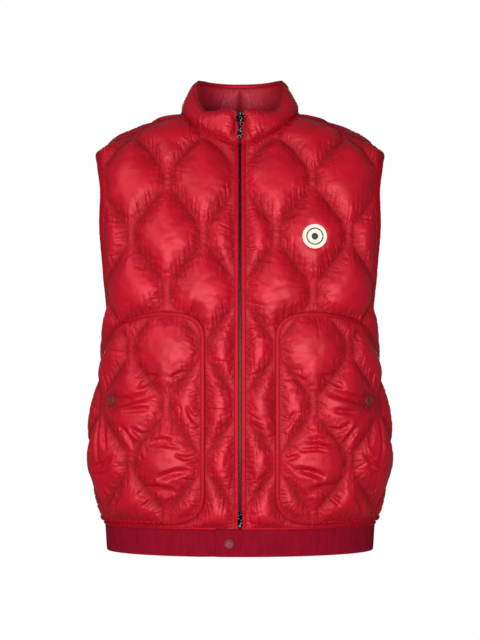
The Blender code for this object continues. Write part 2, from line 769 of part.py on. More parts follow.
def build_waistband():
    """One length, whose under end steps inside the end that laps over it."""
    half = half_girth(HEM_V)
    start, end = BAND_LAP[0], 2 * half + BAND_LAP[1]
    dip_from = 2 * half + BAND_LAP[0] - BAND_DIP - 4
    sections = []
    for q in np.linspace(start, end, round((end - start) / BAND_STEP) + 1):
        share = min(max((q - dip_from) / BAND_DIP, 0), 1)
        deep = -(BAND_WALL + LAY_GAP) * share * share * (3 - 2 * share)
        corners = []
        for v, height in ((BAND_V[0], 0), (BAND_V[1], 0), (BAND_V[1], BAND_WALL), (BAND_V[0], BAND_WALL)):
            turned = q / half
            u = (turned if turned <= 1 else turned - 2) * half_girth(v)
            spot, outward = on_front(u, v)
            corners.append(spot + outward * (height + deep))
        sections.append(corners)
    swept("waistband", sections, "band")


def snap_cap(name, place, u, v, height):
    tall, top = SNAP["tall"], SNAP["radius"] - SNAP["rim"]
    body = drum(SNAP["radius"], tall, (0, 0, tall / 2), segments=24, far_radius=top)
    dish = drum(SNAP["dish_floor"], 2 * SNAP["dish_deep"], (0, 0, tall), segments=16, far_radius=SNAP["dish_mouth"])
    combined(name, body, [("DIFFERENCE", dish)], "snap", frame_at(place, u, v, height))


def build_snaps():
    snap_cap("waistband_snap", on_front, WAIST_SNAP["u"], WAIST_SNAP["v"], BAND_WALL + LAY_GAP)
    height = 2 * (SEAM_WALL + LAY_GAP)
    snap_cap("pocket_snap_left", on_front, POCKET_SNAP["u"], POCKET_SNAP["v"], height)
    snap_cap("pocket_snap_right", on_front, -POCKET_SNAP["u"], POCKET_SNAP["v"], height)


def plate_on_core(size):
    """A plate that stands over the tapes, and the web that carries it from between them."""
    out, thick = SLIDER["lift"], size["plate"]
    plate = block((size["wide"], size["tall"], thick), (0, 0, out + thick / 2), size["bevel"])
    core_tall = out + CORE["into_plate"] - CORE["low"]
    core = block((CORE["wide"], size["tall"] - CORE["shorter"], core_tall), (0, 0, CORE["low"] + core_tall / 2))
    return plate, core


def build_slider(collar):
    """The slider with its ears and pin, and the pull, whose own axes start on the pin."""
    seat = collar.point(collar.reach, COLLAR_TALL * SLIDER_AT)
    upright = Matrix(((1, 0, 0, 0), (0, 0, -1, seat.y), (0, 1, 0, seat.z), (0, 0, 0, 1)))
    plate_top = SLIDER["lift"] + SLIDER["plate"]
    pin_out = plate_top + PIN["above_plate"]
    plate, core = plate_on_core(SLIDER)
    shapes = [("UNION", core)]
    for side in (-1, 1):
        centre = (side * (EAR["out"] + EAR["thick"] / 2), 0, plate_top + EAR["tall"] / 2 - EAR["sunk"])
        shapes.append(("UNION", block((EAR["thick"], EAR["long"], EAR["tall"]), centre, EAR["bevel"])))
    pin = drum(PIN["radius"], 2 * EAR["out"] + EAR["thick"], (0, 0, pin_out), "X", 16)
    shapes.append(("UNION", pin))
    combined("zip_slider", plate, shapes, "metal", upright)

    thick, ring_at = PULL["thick"], -PULL["ring_at"]
    eye = drum(EYE["radius"], 2 * EYE["half_width"], (0, 0, 0), "X", 20)
    stem_from, stem_to = -EYE["hole"], ring_at
    stem = block((PULL["stem"], stem_from - stem_to, thick), (0, (stem_from + stem_to) / 2, 0))
    disc = drum(PULL["ring"], thick, (0, ring_at, 0))
    tail_from, tail_to = ring_at - PULL["ring"] + 1, -PULL["end"]
    tail = block((2 * PULL["neck"], tail_from - tail_to, thick), (0, 0, 0))
    for vert in tail.verts:
        vert.co.x *= PULL["flare"] / PULL["neck"] if vert.co.y < 0 else 1
    bmesh.ops.translate(tail, verts=tail.verts, vec=(0, (tail_from + tail_to) / 2, 0))
    shapes = [
        ("UNION", stem),
        ("UNION", disc),
        ("UNION", tail),
        ("DIFFERENCE", drum(EYE["hole"], 4 * EYE["half_width"], (0, 0, 0), "X", 16)),
        ("DIFFERENCE", drum(PULL["ring_hole"], 4 * thick, (0, ring_at, 0), segments=16)),
    ]
    combined("zip_pull", eye, shapes, "metal", upright @ Matrix.Translation((0, 0, pin_out)))


def build_zip_box():
    plate, core = plate_on_core(ZIP_BOX)
    combined("zip_box", plate, [("UNION", core)], "metal", frame_at(on_front, 0.0, ZIP_BOX["v"]))


def main():
    clear_scene()
    group = bpy.data.collections.new("puffer_vest")
    bpy.context.scene.collection.children.link(group)
    for side in ("left", "right"):
        build_front(side)
    build_back()
    collar = Collar()
    build_collar(collar)
    build_front_edges(collar)
    build_armholes()
    build_waistband()
    build_snaps()
    build_slider(collar)
    build_zip_box()


main()
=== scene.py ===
import itertools
import math

import bmesh
import bpy
import numpy as np
from mathutils import Matrix, Vector
from mathutils.geometry import delaunay_2d_cdt


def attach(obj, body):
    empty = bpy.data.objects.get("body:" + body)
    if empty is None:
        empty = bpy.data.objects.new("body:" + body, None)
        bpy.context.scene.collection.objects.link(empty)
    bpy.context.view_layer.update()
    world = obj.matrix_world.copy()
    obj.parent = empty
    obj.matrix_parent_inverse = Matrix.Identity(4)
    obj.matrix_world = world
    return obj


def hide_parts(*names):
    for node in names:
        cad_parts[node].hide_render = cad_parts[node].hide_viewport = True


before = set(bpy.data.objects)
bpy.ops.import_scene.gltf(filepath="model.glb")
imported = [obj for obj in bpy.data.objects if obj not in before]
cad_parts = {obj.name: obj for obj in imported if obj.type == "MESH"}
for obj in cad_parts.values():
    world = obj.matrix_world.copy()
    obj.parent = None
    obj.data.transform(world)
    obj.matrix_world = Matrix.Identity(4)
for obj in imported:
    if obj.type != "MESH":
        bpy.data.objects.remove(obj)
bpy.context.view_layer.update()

# ---- Front panels ----
# Each front is one length of down-proof nylon taffeta over down. Lines of lockstitch divide it into tall
# onion-shaped cells joined by narrow necks. The cloth is cut longer than its lining, so the filling puckers
# it along every stitch line.
MM = 0.001
# The vest is filled out, so every piece is bent round one form: flat ovals stacked from hem to shoulder.
# v is the length up the cloth and z the height, in millimetres.
BODY_COLUMNS = ("v", "z", "half_width", "front", "back", "squareness")
BODY = (
    (62, 13, 16, 8, 46, 2.2),
    (50, 11, 50, 20, 56, 2.2),
    (34, 6, 88, 33, 66, 2.3),
    (12, -7, 130, 46, 73, 2.4),
    (-3, -19, 153, 56, 79, 2.5),
    (-24, -34, 180, 66, 86, 2.6),
    (-45, -48, 210, 73, 92, 2.7),
    (-54, -54, 219, 76, 95, 2.9),
    (-72, -72, 225, 82, 99, 3.1),
    (-120, -120, 228, 94, 107, 3.4),
    (-160, -160, 226, 101, 110, 3.6),
    (-239, -239, 213, 109, 110, 3.4),
    (-287, -287, 203, 112, 109, 3.1),
    (-330, -330, 202, 114, 108, 3.0),
    (-383, -383, 207, 115, 107, 3.0),
    (-431, -431, 214, 115, 108, 3.0),
    (-465, -465, 221, 115, 109, 3.0),
    (-501, -501, 224, 115, 109, 2.9),
    (-564, -564, 218, 112, 107, 2.6),
    (-600, -600, 210, 109, 105, 2.3),
    (-622, -622, 206, 107, 103, 2.1),
    (-664, -664, 203, 107, 103, 2.05),
)
ROWS = {name: np.array([row[i] for row in BODY][::-1], float) for i, name in enumerate(BODY_COLUMNS)}
SLOPES = {name: np.gradient(values, ROWS["v"]) for name, values in ROWS.items()}
SHARES = np.linspace(0.0, 1.0, 121) ** 1.3
QUARTER = math.pi / 2 * SHARES / (SHARES + SHARES[::-1])  # closer together where an oval turns fastest
TABLE_STEP = 2.0
TABLE_V = np.arange(-680.0, 64.0, TABLE_STEP)
TABLE_U = np.arange(0.0, 640.0, TABLE_STEP)

SEAM_WALL = 3.0  # a quilted wall where it is stitched
SEAM_GAP = 0.2
PUFF = 14.0  # how far a full cell stands above its stitching
HEM_V = -622.0
COLUMN = 54.5  # from one column of cells to the next
NECK = 12.0  # across the neck between two cells
NECK_TALL = 30.0  # where the stitch lines run upright beside it
HALF_PERIOD = 84.7  # from the necks of one column to those of the next
NECK_V = -99.5
FRONT_EDGE = 8.5  # from the middle of the front to a front's edge
NECK_OVAL = {"half_width": 88.0, "front": 70.0, "back": 64.0, "squareness": 2.3}
ARMHOLE = {"y": 2.0, "z": -170.5, "half_depth": 68.0, "half_height": 117.5, "squareness": 2.3}
ARMHOLE_BINDING = 7.0
SHOULDER_SEAM_Y = (-26.0, -22.0)  # at the neck and at the armhole
LOWEST_NECK_V = -140.0  # the neck and the shoulder seams lie above this


def summed(steps):
    """Lengths from the start, from the steps between points."""
    return np.concatenate([[0], np.cumsum(steps)])


def lobed(value, power):
    """A sine or cosine raised to a power, as on a squared-off oval."""
    return math.copysign(abs(value) ** power, value)


def at_height(name, v):
    """One column of BODY at v, on a smooth curve through its rows."""
    stations, values, slopes = ROWS["v"], ROWS[name], SLOPES[name]
    v = np.clip(v, stations[0], stations[-1])
    i = np.clip(np.searchsorted(stations, v, "right") - 1, 0, len(stations) - 2)
    step = stations[i + 1] - stations[i]
    t = (v - stations[i]) / step
    bend = step * (slopes[i] * t * (1 - t) ** 2 - slopes[i + 1] * t * t * (1 - t))
    return values[i] * (1 + 2 * t) * (1 - t) ** 2 + values[i + 1] * t * t * (3 - 2 * t) + bend


def section(v):
    """Half of the oval at v, from the middle of the front to the middle of the back: x, y and length."""
    wide, power = at_height("half_width", v), 2 / at_height("squareness", v)
    side = wide * np.sin(QUARTER) ** power
    ahead = -at_height("front", v) * np.cos(QUARTER) ** power
    behind = at_height("back", v) * np.cos(QUARTER[::-1]) ** power
    x = np.concatenate([side, side[::-1][1:]])
    y = np.concatenate([ahead, behind[1:]])
    return x, y, summed(np.hypot(np.diff(x), np.diff(y)))


def form_table(from_back):
    """x and y of the form on a grid of v and u, with u from the middle of the front or of the back."""
    rows = []
    for v in TABLE_V:
        x, y, length = section(v)
        along = length[-1] - TABLE_U if from_back else TABLE_U
        rows.append((np.interp(along, length, x), np.interp(along, length, y)))
    return np.array(rows)


FORMS = {"front": form_table(False), "back": form_table(True)}


def body_points(face, u, v):
    table = FORMS[face]
    i = np.clip(((v - TABLE_V[0]) / TABLE_STEP).astype(int), 0, len(TABLE_V) - 2)
    j = np.clip((np.abs(u) / TABLE_STEP).astype(int), 0, len(TABLE_U) - 2)
    share_v, share_u = (v - TABLE_V[i]) / TABLE_STEP, np.abs(u) / TABLE_STEP - j
    x, y = (
        (table[i, k, j] * (1 - share_u) + table[i, k, j + 1] * share_u) * (1 - share_v)
        + (table[i + 1, k, j] * (1 - share_u) + table[i + 1, k, j + 1] * share_u) * share_v
        for k in (0, 1)
    )
    return np.stack([np.copysign(x, u), y, at_height("z", v)], axis=-1)


def placed(form, u, v, step=1.5):
    """Points of a form and the outward directions there."""
    along = form(u + step, v) - form(u - step, v)
    up = form(u, v + step) - form(u, v - step)
    outward = np.cross(along, up)
    return form(u, v), outward / np.linalg.norm(outward, axis=-1, keepdims=True)


def on_front(u, v):
    return placed(lambda a, b: body_points("front", a, b), u, v)


def side_length(v):
    """Length from the middle of the front to the side seam."""
    return float(section(v)[2][len(QUARTER) - 1])


def girth_at_y(v, y, x=None):
    """Length from the middle of the front to where the oval at v passes y, or passes below x and y."""
    power = at_height("squareness", v) / 2
    share_y = min(abs(y) / at_height("front" if y < 0 else "back", v), 1.0) ** power
    share_x = math.sqrt(1 - share_y**2) if x is None else (abs(x) / at_height("half_width", v)) ** power
    turned = math.atan2(share_x, share_y)
    length = section(v)[2]
    if y < 0:
        return float(np.interp(turned, QUARTER, length[: len(QUARTER)]))
    return float(np.interp(math.pi - turned, QUARTER + math.pi / 2, length[len(QUARTER) - 1 :]))


def v_under(x, y):
    """The v at which the form passes over a point of the plan."""
    low, high = LOWEST_NECK_V, float(ROWS["v"][-1])
    for _ in range(30):
        v = (low + high) / 2
        power = at_height("squareness", v)
        depth = at_height("front" if y < 0 else "back", v)
        covered = (abs(x) / at_height("half_width", v)) ** power + (abs(y) / depth) ** power < 1
        low, high = (v, high) if covered else (low, v)
    return (low + high) / 2


def oval_xy(oval, angle):
    """A point of a plan oval, from the middle of the back (0) to the middle of the front (pi)."""
    power = 2 / oval["squareness"]
    depth = oval["back"] if math.cos(angle) > 0 else oval["front"]
    return oval["half_width"] * abs(math.sin(angle)) ** power, depth * lobed(math.cos(angle), power)


def neck_uv(angle):
    x, y = oval_xy(NECK_OVAL, angle)
    v = v_under(x, y)
    return girth_at_y(v, y, x), v


def neck_angle_at_y(y):
    return math.pi - math.acos((-y / NECK_OVAL["front"]) ** (NECK_OVAL["squareness"] / 2))


def armhole_uv(angle, grow):
    """A point of the armhole: angle 0 at its back, a quarter turn at its top and a half turn in front."""
    power = 2 / ARMHOLE["squareness"]
    y = ARMHOLE["y"] + (ARMHOLE["half_depth"] + grow) * lobed(math.cos(angle), power)
    z = ARMHOLE["z"] + (ARMHOLE["half_height"] + grow) * lobed(math.sin(angle), power)
    v = float(np.interp(z, ROWS["z"], ROWS["v"]))
    return girth_at_y(v, y), v


def armhole_angle_at_y(y, grow):
    share = (y - ARMHOLE["y"]) / (ARMHOLE["half_depth"] + grow)
    return math.acos(lobed(share, ARMHOLE["squareness"] / 2))


def shoulder_seam(steps=12):
    """From the neck to the armhole."""
    x0, y0 = oval_xy(NECK_OVAL, neck_angle_at_y(SHOULDER_SEAM_Y[0]))
    angle = armhole_angle_at_y(SHOULDER_SEAM_Y[1], ARMHOLE_BINDING)
    u1, v1 = armhole_uv(angle, ARMHOLE_BINDING)
    x1 = float(body_points("front", np.array(u1), np.array(v1))[0])
    seam = []
    for t in np.linspace(0, 1, steps + 1)[:-1]:
        x, y = x0 + (x1 - x0) * t, y0 + (SHOULDER_SEAM_Y[1] - y0) * t
        v = v_under(x, y)
        seam.append((girth_at_y(v, y, x), v))
    return seam


def side_and_hem(end_u):
    """Down the side seam from the armhole, then along the hem."""
    top = float(np.interp(ARMHOLE["z"] - ARMHOLE["half_height"] - ARMHOLE_BINDING, ROWS["z"], ROWS["v"]))
    side = [(side_length(v), v) for v in np.linspace(top, HEM_V, 40)]
    return side + [(u, HEM_V) for u in np.linspace(side[-1][0], end_u, 30)[1:]]


def front_outline():
    """Up the front edge, round the neck, along the shoulder, down the armhole and the side, along the hem."""
    turned = (FRONT_EDGE / NECK_OVAL["half_width"]) ** (NECK_OVAL["squareness"] / 2)
    edge_angle = math.pi - math.asin(turned)
    neck = [neck_uv(a) for a in np.linspace(edge_angle, neck_angle_at_y(SHOULDER_SEAM_Y[0]), 24)[:-1]]
    top = armhole_angle_at_y(SHOULDER_SEAM_Y[1], ARMHOLE_BINDING)
    armhole = [armhole_uv(a, ARMHOLE_BINDING) for a in np.linspace(top, 1.5 * math.pi, 48)[:-1]]
    return inset(neck + shoulder_seam() + armhole + side_and_hem(FRONT_EDGE), SEAM_GAP)


def inset(loop, distance):
    """A closed outline moved inwards."""
    turns = sum(a[0] * b[1] - b[0] * a[1] for a, b in zip(loop, loop[1:] + loop[:1], strict=True))
    inward = math.copysign(distance, turns)
    moved = []
    for before, here, after in zip(loop[-1:] + loop[:-1], loop, loop[1:] + loop[:1], strict=True):
        a = Vector((here[0] - before[0], here[1] - before[1])).normalized()
        b = Vector((after[0] - here[0], after[1] - here[1])).normalized()
        across = Vector((-a.y - b.y, a.x + b.x))
        across *= 2 / max(across.length_squared, 1.0)
        moved.append((here[0] + inward * across.x, here[1] + inward * across.y))
    return moved


def quilt_line(number, low, high):
    """A stitch line between two columns of cells: straight slants, upright beside the necks."""
    line = []
    first, last = math.floor((low - NECK_V) / HALF_PERIOD), math.ceil((high - NECK_V) / HALF_PERIOD)
    for k in range(first - 1, last + 2):
        side = 1 if (k + number) % 2 else -1
        u = (number + 0.5) * COLUMN + side * (COLUMN - NECK) / 2
        node = NECK_V + k * HALF_PERIOD
        line += [(u, node - NECK_TALL / 2), (u, node + NECK_TALL / 2)]
    return line


# How a flat piece is cut into small triangles, with corners along its outline and its stitch lines.
CUT_STEP = 4.0  # between points of a piece before it is filled; half of it once it is finished
HIDDEN_STEP = 11.0  # where another piece lies on it, and on the lining
AS_CUT = 1e3  # a spacing so wide that it adds no point to an edge


def within(loop, points):
    """Which points lie inside a closed outline."""
    u, v = points[:, 0], points[:, 1]
    crossed = np.zeros(len(points), bool)
    for (u0, v0), (u1, v1) in zip(loop, loop[1:] + loop[:1]):
        if v0 != v1:
            crossed ^= ((v0 > v) != (v1 > v)) & (u < u0 + (v - v0) * (u1 - u0) / (v1 - v0))
    return crossed


def nearest_stitch(paths, points):
    """Each point's distance to the nearest of some polylines, its place along them, and its side of them."""
    found = np.full((3, len(points)), np.inf)
    gone = 0.0
    for path in paths:
        for (u0, v0), (u1, v1) in zip(path, path[1:]):
            du, dv, length = u1 - u0, v1 - v0, math.dist((u0, v0), (u1, v1))
            if length < 1e-6:
                continue
            pu, pv = points[:, 0] - u0, points[:, 1] - v0
            share = np.clip((pu * du + pv * dv) / length**2, 0, 1)
            distance = np.hypot(pu - share * du, pv - share * dv)
            closer = distance < found[0] - 1e-9
            side = np.where(pu * dv - pv * du < 0, -1.0, 1.0)
            found[:, closer] = np.stack([distance, gone + share * length, side])[:, closer]
            gone += length
    return found


def spaced(path, spacing):
    """The path with points added so that none are further apart."""
    points = [path[0]]
    for a, b in zip(path, path[1:]):
        parts, du, dv = max(1, math.ceil(math.dist(a, b) / spacing)), b[0] - a[0], b[1] - a[1]
        points += [(a[0] + du * i / parts, a[1] + dv * i / parts) for i in range(1, parts + 1)]
    return points


def closed_path(loop):
    return loop + loop[:1]


def scattered(outline, spacing, seed):
    """Staggered, slightly shaken points over an outline."""
    low, high = np.min(outline, axis=0), np.max(outline, axis=0)
    rows = np.arange(low[1], high[1], spacing * math.sqrt(3) / 2)
    across = np.arange(low[0], high[0], spacing)
    grid = np.array([(u + (spacing / 2 if i % 2 else 0), v) for i, v in enumerate(rows) for u in across])
    return grid + np.random.default_rng(seed).uniform(-0.18, 0.18, grid.shape) * spacing


def cut_flat(outline, paths, grid, spacing, edge_spacing=None):
    """The points and triangles of a flat piece that has these paths among its edges."""
    grid = grid[within(outline, grid)]
    grid = grid[nearest_stitch(paths, grid)[0] > 0.5 * spacing]
    corners, joins = [Vector(p) for p in grid], []
    for path in paths:
        start = len(corners)
        corners += [Vector(p) for p in spaced(path, edge_spacing or spacing)]
        joins += [(i, i + 1) for i in range(start, len(corners) - 1)]
    made, _, faces, *_ = delaunay_2d_cdt(corners, joins, [], 0, 1e-3, False)
    points, faces = np.array([(p.x, p.y) for p in made]), np.array(list(faces))
    faces = faces[within(outline, points[faces].mean(axis=1))]
    used, faces = np.unique(faces, return_inverse=True)
    return points[used], faces.reshape(-1, 3)


def legs(paths, sharpest=0.85):
    """The paths, parted where they turn by more than this cosine."""
    parts = []
    for path in paths:
        parts.append(path[:1])
        for a, b, c in zip(path, path[1:], path[2:] + path[-1:]):
            parts[-1].append(b)
            turn = math.atan2(c[1] - b[1], c[0] - b[0]) - math.atan2(b[1] - a[1], b[0] - a[0])
            if c != b and math.cos(turn) < sharpest:
                parts.append([b])
    return parts


# How a quilted piece is filled: its loose outer cloth is blown up by a light pressure between its stitches,
# as down makes it, and the creases that the thread draws in it are pressed in afterwards: a fringe of
# short ones all along, and longer ones that lean towards the plumb line.
FILLING = {"frames": 22, "pressure": 3.0, "shaken": 0.35, "cap": 1.25}
EXCESS = {"at_stitch": 0.05, "between": 0.01, "reach": 9.0}  # share by which the cloth is cut too long
BULGE = 36.0  # how far from a stitch the filling stands at its full height
CREASES = (
    {"apart": (3.4, 7.0), "deep": 1.3, "wide": (0.9, 1.5), "long": (5.0, 15.0), "lean": 0.5},
    {"apart": (7.0, 18.0), "deep": 2.3, "wide": (1.2, 2.4), "long": (12.0, 42.0), "lean": 0.75},
)
CREASE_REACH = 42.0
SEAM_CREASES = 1.6  # creases from a seam are this much deeper than from a quilting line
PULL_REACH = 12.0  # how far from a stitch its pull shows in the cloth
# How far from a stitch the colour is painted darker, as painted shade of the small gathers.
GATHER_SHADE_REACH = 5.0  # how far from a stitch the small gathers shade one another
HELD = 0.05  # a point this near to a stitch is held by it
FINE_REACH = 15.0  # how far from a stitch the cloth is cut finest
QUILTS = []


def in_scene(name, data):
    """An object with its mesh, lamp or camera, linked to the scene."""
    made = bpy.data.objects.new(name, data)
    bpy.context.scene.collection.objects.link(made)
    return made


def read(data, key, width, kind=np.float32):
    """One value of every vertex, edge, face or corner, a row for each."""
    values = np.zeros(len(data) * width, kind)
    data.foreach_get(key, values)
    return values.reshape(-1, width)


def side_pairs(faces):
    """The ends of every side of every triangle, in its turning direction."""
    return np.concatenate([faces[:, [0, 1]], faces[:, [1, 2]], faces[:, [2, 0]]])


def eased(places, faces, free, times):
    """The points, each moved towards the middle of its neighbours where it is free."""
    ends = np.unique(np.sort(side_pairs(faces), axis=1), axis=0)
    count = np.maximum(np.bincount(ends.ravel(), minlength=len(places)), 1)[:, None]
    for _ in range(times):
        total = np.zeros_like(places)
        for axis in range(places.shape[1]):
            total[:, axis] = np.bincount(ends[:, 0], places[ends[:, 1], axis], len(places))
            total[:, axis] += np.bincount(ends[:, 1], places[ends[:, 0], axis], len(places))
        places = np.where(free[:, None], places * 0.5 + total / count * 0.5, places)
    return places


class Quilt:
    """A filled piece: its flat outline and stitch lines, the form it lies on, and its heights over that."""

    creases = 1.0  # how deep its creases are, as a share
    bulge = BULGE
    fine = True  # cut twice near its stitches
    folds = ()  # flat paths of longer folds, each with its depth and width

    def __init__(self, name, outline, stitches, form, inside, outside, rise, hidden=(), seed=1, **how):
        self.name, self.outline, self.form, self.seed = name, outline, form, seed
        self.inside, self.outside, self.rise = inside, outside, rise
        self.hidden = hidden  # outlines where another piece lies on it, and the height of the cloth there
        for key, value in how.items():
            setattr(self, key, value)
        self.seams = [closed_path(outline)]
        self.paths = [*stitches, *self.seams]
        self.cut_cloth()
        self.loosen()
        QUILTS.append(self)

    def cut_cloth(self):
        fine = scattered(self.outline, CUT_STEP, self.seed)
        coarse = scattered(self.outline, HIDDEN_STEP, self.seed)
        grid = np.vstack([fine[self.held_height(fine)[0] < 0.5], coarse[self.held_height(coarse)[0] > 0.5]])
        self.points, self.faces = cut_flat(self.outline, self.paths, grid, CUT_STEP)

    def held_height(self, points):
        """1 where something lies on the cloth or a thread holds it, and the height there."""
        held, height = np.zeros(len(points)), np.full(len(points), self.outside)
        for loop, level in self.hidden:
            under = within(loop, points)
            held[under], height[under] = 1.0, level
        return held, height

    def loosen(self):
        """The outer cloth before filling, with a Cloth modifier that holds it at its stitches."""
        distance = nearest_stitch(self.paths, self.points)[0]
        held, level = self.held_height(self.points)
        free = (held < 0.5) & (distance > HELD)
        spots, outward = self.form(*self.points.T)
        rise = self.rise * (1 - (1 - np.minimum(distance / self.bulge, 1)) ** 2)
        rise = eased(rise[:, None], np.array(self.faces), free, 10)[:, 0]
        rise += np.random.default_rng(self.seed).uniform(-1, 1, len(spots)) * FILLING["shaken"]
        height = level + np.where(free, rise, 0)
        mesh = bpy.data.meshes.new(self.name)
        mesh.from_pydata(((spots + outward * height[:, None]) * MM).tolist(), [], self.faces.tolist())
        flat = mesh.attributes.new("flat", "FLOAT_VECTOR", "POINT")
        flat.data.foreach_set("vector", np.column_stack([self.points, free]).astype(np.float32).ravel())
        self.piece = in_scene(self.name, mesh)
        stitched = self.piece.vertex_groups.new(name="stitched")
        stitched.add(np.flatnonzero(~free).tolist(), 1.0, "REPLACE")
        gathered = self.piece.vertex_groups.new(name="gathered")
        for i, share in enumerate(np.exp(-((distance / EXCESS["reach"]) ** 2))):
            gathered.add([i], float(share), "REPLACE")
        modifier = self.piece.modifiers.new("filling", "CLOTH")
        cloth = modifier.settings
        cloth.quality, cloth.mass, cloth.air_damping = 5, 0.1, 2
        cloth.tension_stiffness = cloth.compression_stiffness = 25
        cloth.shear_stiffness, cloth.bending_stiffness = 10, 0.1
        cloth.vertex_group_mass, cloth.vertex_group_shrink = "stitched", "gathered"
        cloth.shrink_min, cloth.shrink_max = -EXCESS["between"], -EXCESS["at_stitch"]
        cloth.use_pressure, cloth.uniform_pressure_force = True, FILLING["pressure"]
        cloth.effector_weights.gravity = 0
        modifier.collision_settings.use_collision = False
        modifier.point_cache.frame_start, modifier.point_cache.frame_end = 1, FILLING["frames"]

    def settle(self):
        """Takes over the filled shape, and cuts each triangle of the cloth that shows into four."""
        shaped = self.piece.evaluated_get(bpy.context.evaluated_depsgraph_get()).data
        places = read(shaped.vertices, "co", 3)
        self.piece.modifiers.clear()
        self.piece.vertex_groups.clear()
        spots, outward = self.form(*self.points.T)
        moved = places / MM - spots
        height = (moved * outward).sum(axis=1)
        top = self.outside + self.rise * FILLING["cap"]
        most = top + 2 * np.tanh((height - top) / 2)  # the cap on how far the cloth may swell
        moved += outward * np.where(height > top, most - height, 0)[:, None]
        self.piece.data.vertices.foreach_set("co", ((spots + moved) * MM).astype(np.float32).ravel())
        bm = bmesh.new()
        bm.from_mesh(self.piece.data)
        flat = bm.verts.layers.float_vector["flat"]

        def halve(edges):
            bm.edges.index_update()
            ordered = sorted(edges, key=lambda e: e.index)
            bmesh.ops.subdivide_edges(bm, edges=ordered, cuts=1, use_grid_fill=True)

        shown = {e for f in bm.faces if any(v[flat][2] > 0.5 for v in f.verts) for e in f.edges}
        bound = [e for e in bm.edges if e not in shown]
        middles = np.array([(e.verts[0][flat] + e.verts[1][flat])[:2] for e in bound]) / 2
        narrow = (self.held_height(middles)[0] < 0.5) & (nearest_stitch(self.paths, middles)[0] > 0.3)
        halve(shown | {e for e, across in zip(bound, narrow) if across})
        if self.fine:
            bm.verts.index_update()
            distance = nearest_stitch(self.paths, np.array([v[flat][:2] for v in bm.verts]))[0]
            near = [f for f in bm.faces if min(distance[v.index] for v in f.verts) < FINE_REACH]
            halve({e for f in near if all(v[flat][2] > 0.4 for v in f.verts) for e in f.edges})
        bmesh.ops.triangulate(bm, faces=[f for f in bm.faces if len(f.verts) > 3])
        bm.to_mesh(self.piece.data)
        bm.free()

    def crease_depth(self, points, paths):
        """How deep the threads' creases are, how hard the nearest pulls, and how gathered the cloth is; the
        pull and the gathering also set where shade is painted into the colour.
        """
        depth, near, second, sewn = np.zeros(len(points)), *np.full((3, len(points)), CREASE_REACH)
        seams = legs(path for path in paths if path in self.seams)
        quilting = legs(path for path in paths if path not in self.seams)
        for number, leg in enumerate(quilting + seams):
            deeper = self.creases * (SEAM_CREASES if leg in seams else 1)
            ends = np.array(leg)
            low, high = ends.min(axis=0) - CREASE_REACH, ends.max(axis=0) + CREASE_REACH
            here = np.flatnonzero(((points > low) & (points < high)).all(axis=1))
            if not len(here) or len(leg) < 2:
                continue
            distance, along, side = nearest_stitch([leg], points[here])
            second[here] = np.minimum(second[here], np.maximum(near[here], distance))
            if leg not in seams:
                sewn[here] = np.minimum(sewn[here], distance)
            near[here] = np.minimum(near[here], distance)
            run = summed(np.hypot(*np.diff(ends, axis=0).T))
            way = np.diff(ends, axis=0) / np.diff(run)[:, None]
            past = np.where(along < 0.01, (points[here] - ends[0]) @ -way[0], 0)
            past = np.where(along > run[-1] - 0.01, (points[here] - ends[-1]) @ way[-1], past)
            inside = (1 - np.clip(past / np.maximum(distance, 0.1), 0, 1) ** 2) ** 3
            for turned, kind in itertools.product((-1, 1), CREASES):
                rng = np.random.default_rng([self.seed, number, turned + 1, round(kind["deep"] * 100)])
                count = int(run[-1] / kind["apart"][0]) + 8
                places = np.cumsum(rng.uniform(*kind["apart"], count)) - rng.uniform(2, 3) * kind["apart"][1]
                strong, wide = rng.uniform(0.2, 1.0, count), rng.uniform(*kind["wide"], count)
                long = kind["long"][0] + np.diff(kind["long"]) * rng.uniform(0, 1, count) ** 2
                du, dv = way[np.clip(np.searchsorted(run, places) - 1, 0, len(way) - 1)].T
                rising = -turned * du  # how much the side the crease is on faces up
                plumb = dv / np.where(np.abs(rising) > 0.4, rising, 1)
                wander = np.convolve(rng.uniform(-1, 1, count + 4), np.ones(5) / 5, "valid") * 2
                slant = np.where(np.abs(rising) > 0.4, kind["lean"] * plumb + 0.25 * wander, 0.8 * wander)
                strong *= 0.75 + 0.25 * np.clip(rising * 2, -1, 1)
                on = np.flatnonzero(side == turned)
                lean = np.interp(along[on], places, slant)
                first = np.searchsorted(places, along[on] - lean * distance[on])
                for step in range(-2, 3):
                    k = np.clip(first + step, 0, count - 1)
                    off = (along[on] - places[k] - slant[k] * distance[on]) / (wide[k] + 0.04 * distance[on])
                    fade = np.clip(1 - distance[on] / long[k], 0, 1) * inside[on]
                    crest = (1 - 0.6 * off**2) * np.exp(-(off**2))  # the cloth beside a crease stands up
                    depth[here[on]] += deeper * kind["deep"] * strong[k] * fade * crest
        pull = np.exp(-near / PULL_REACH) * np.clip((second - near - 3) / 4, 0, 1)
        return depth, pull, np.maximum(np.exp(-sewn / GATHER_SHADE_REACH), 0.5 * np.exp(-near / GATHER_SHADE_REACH))

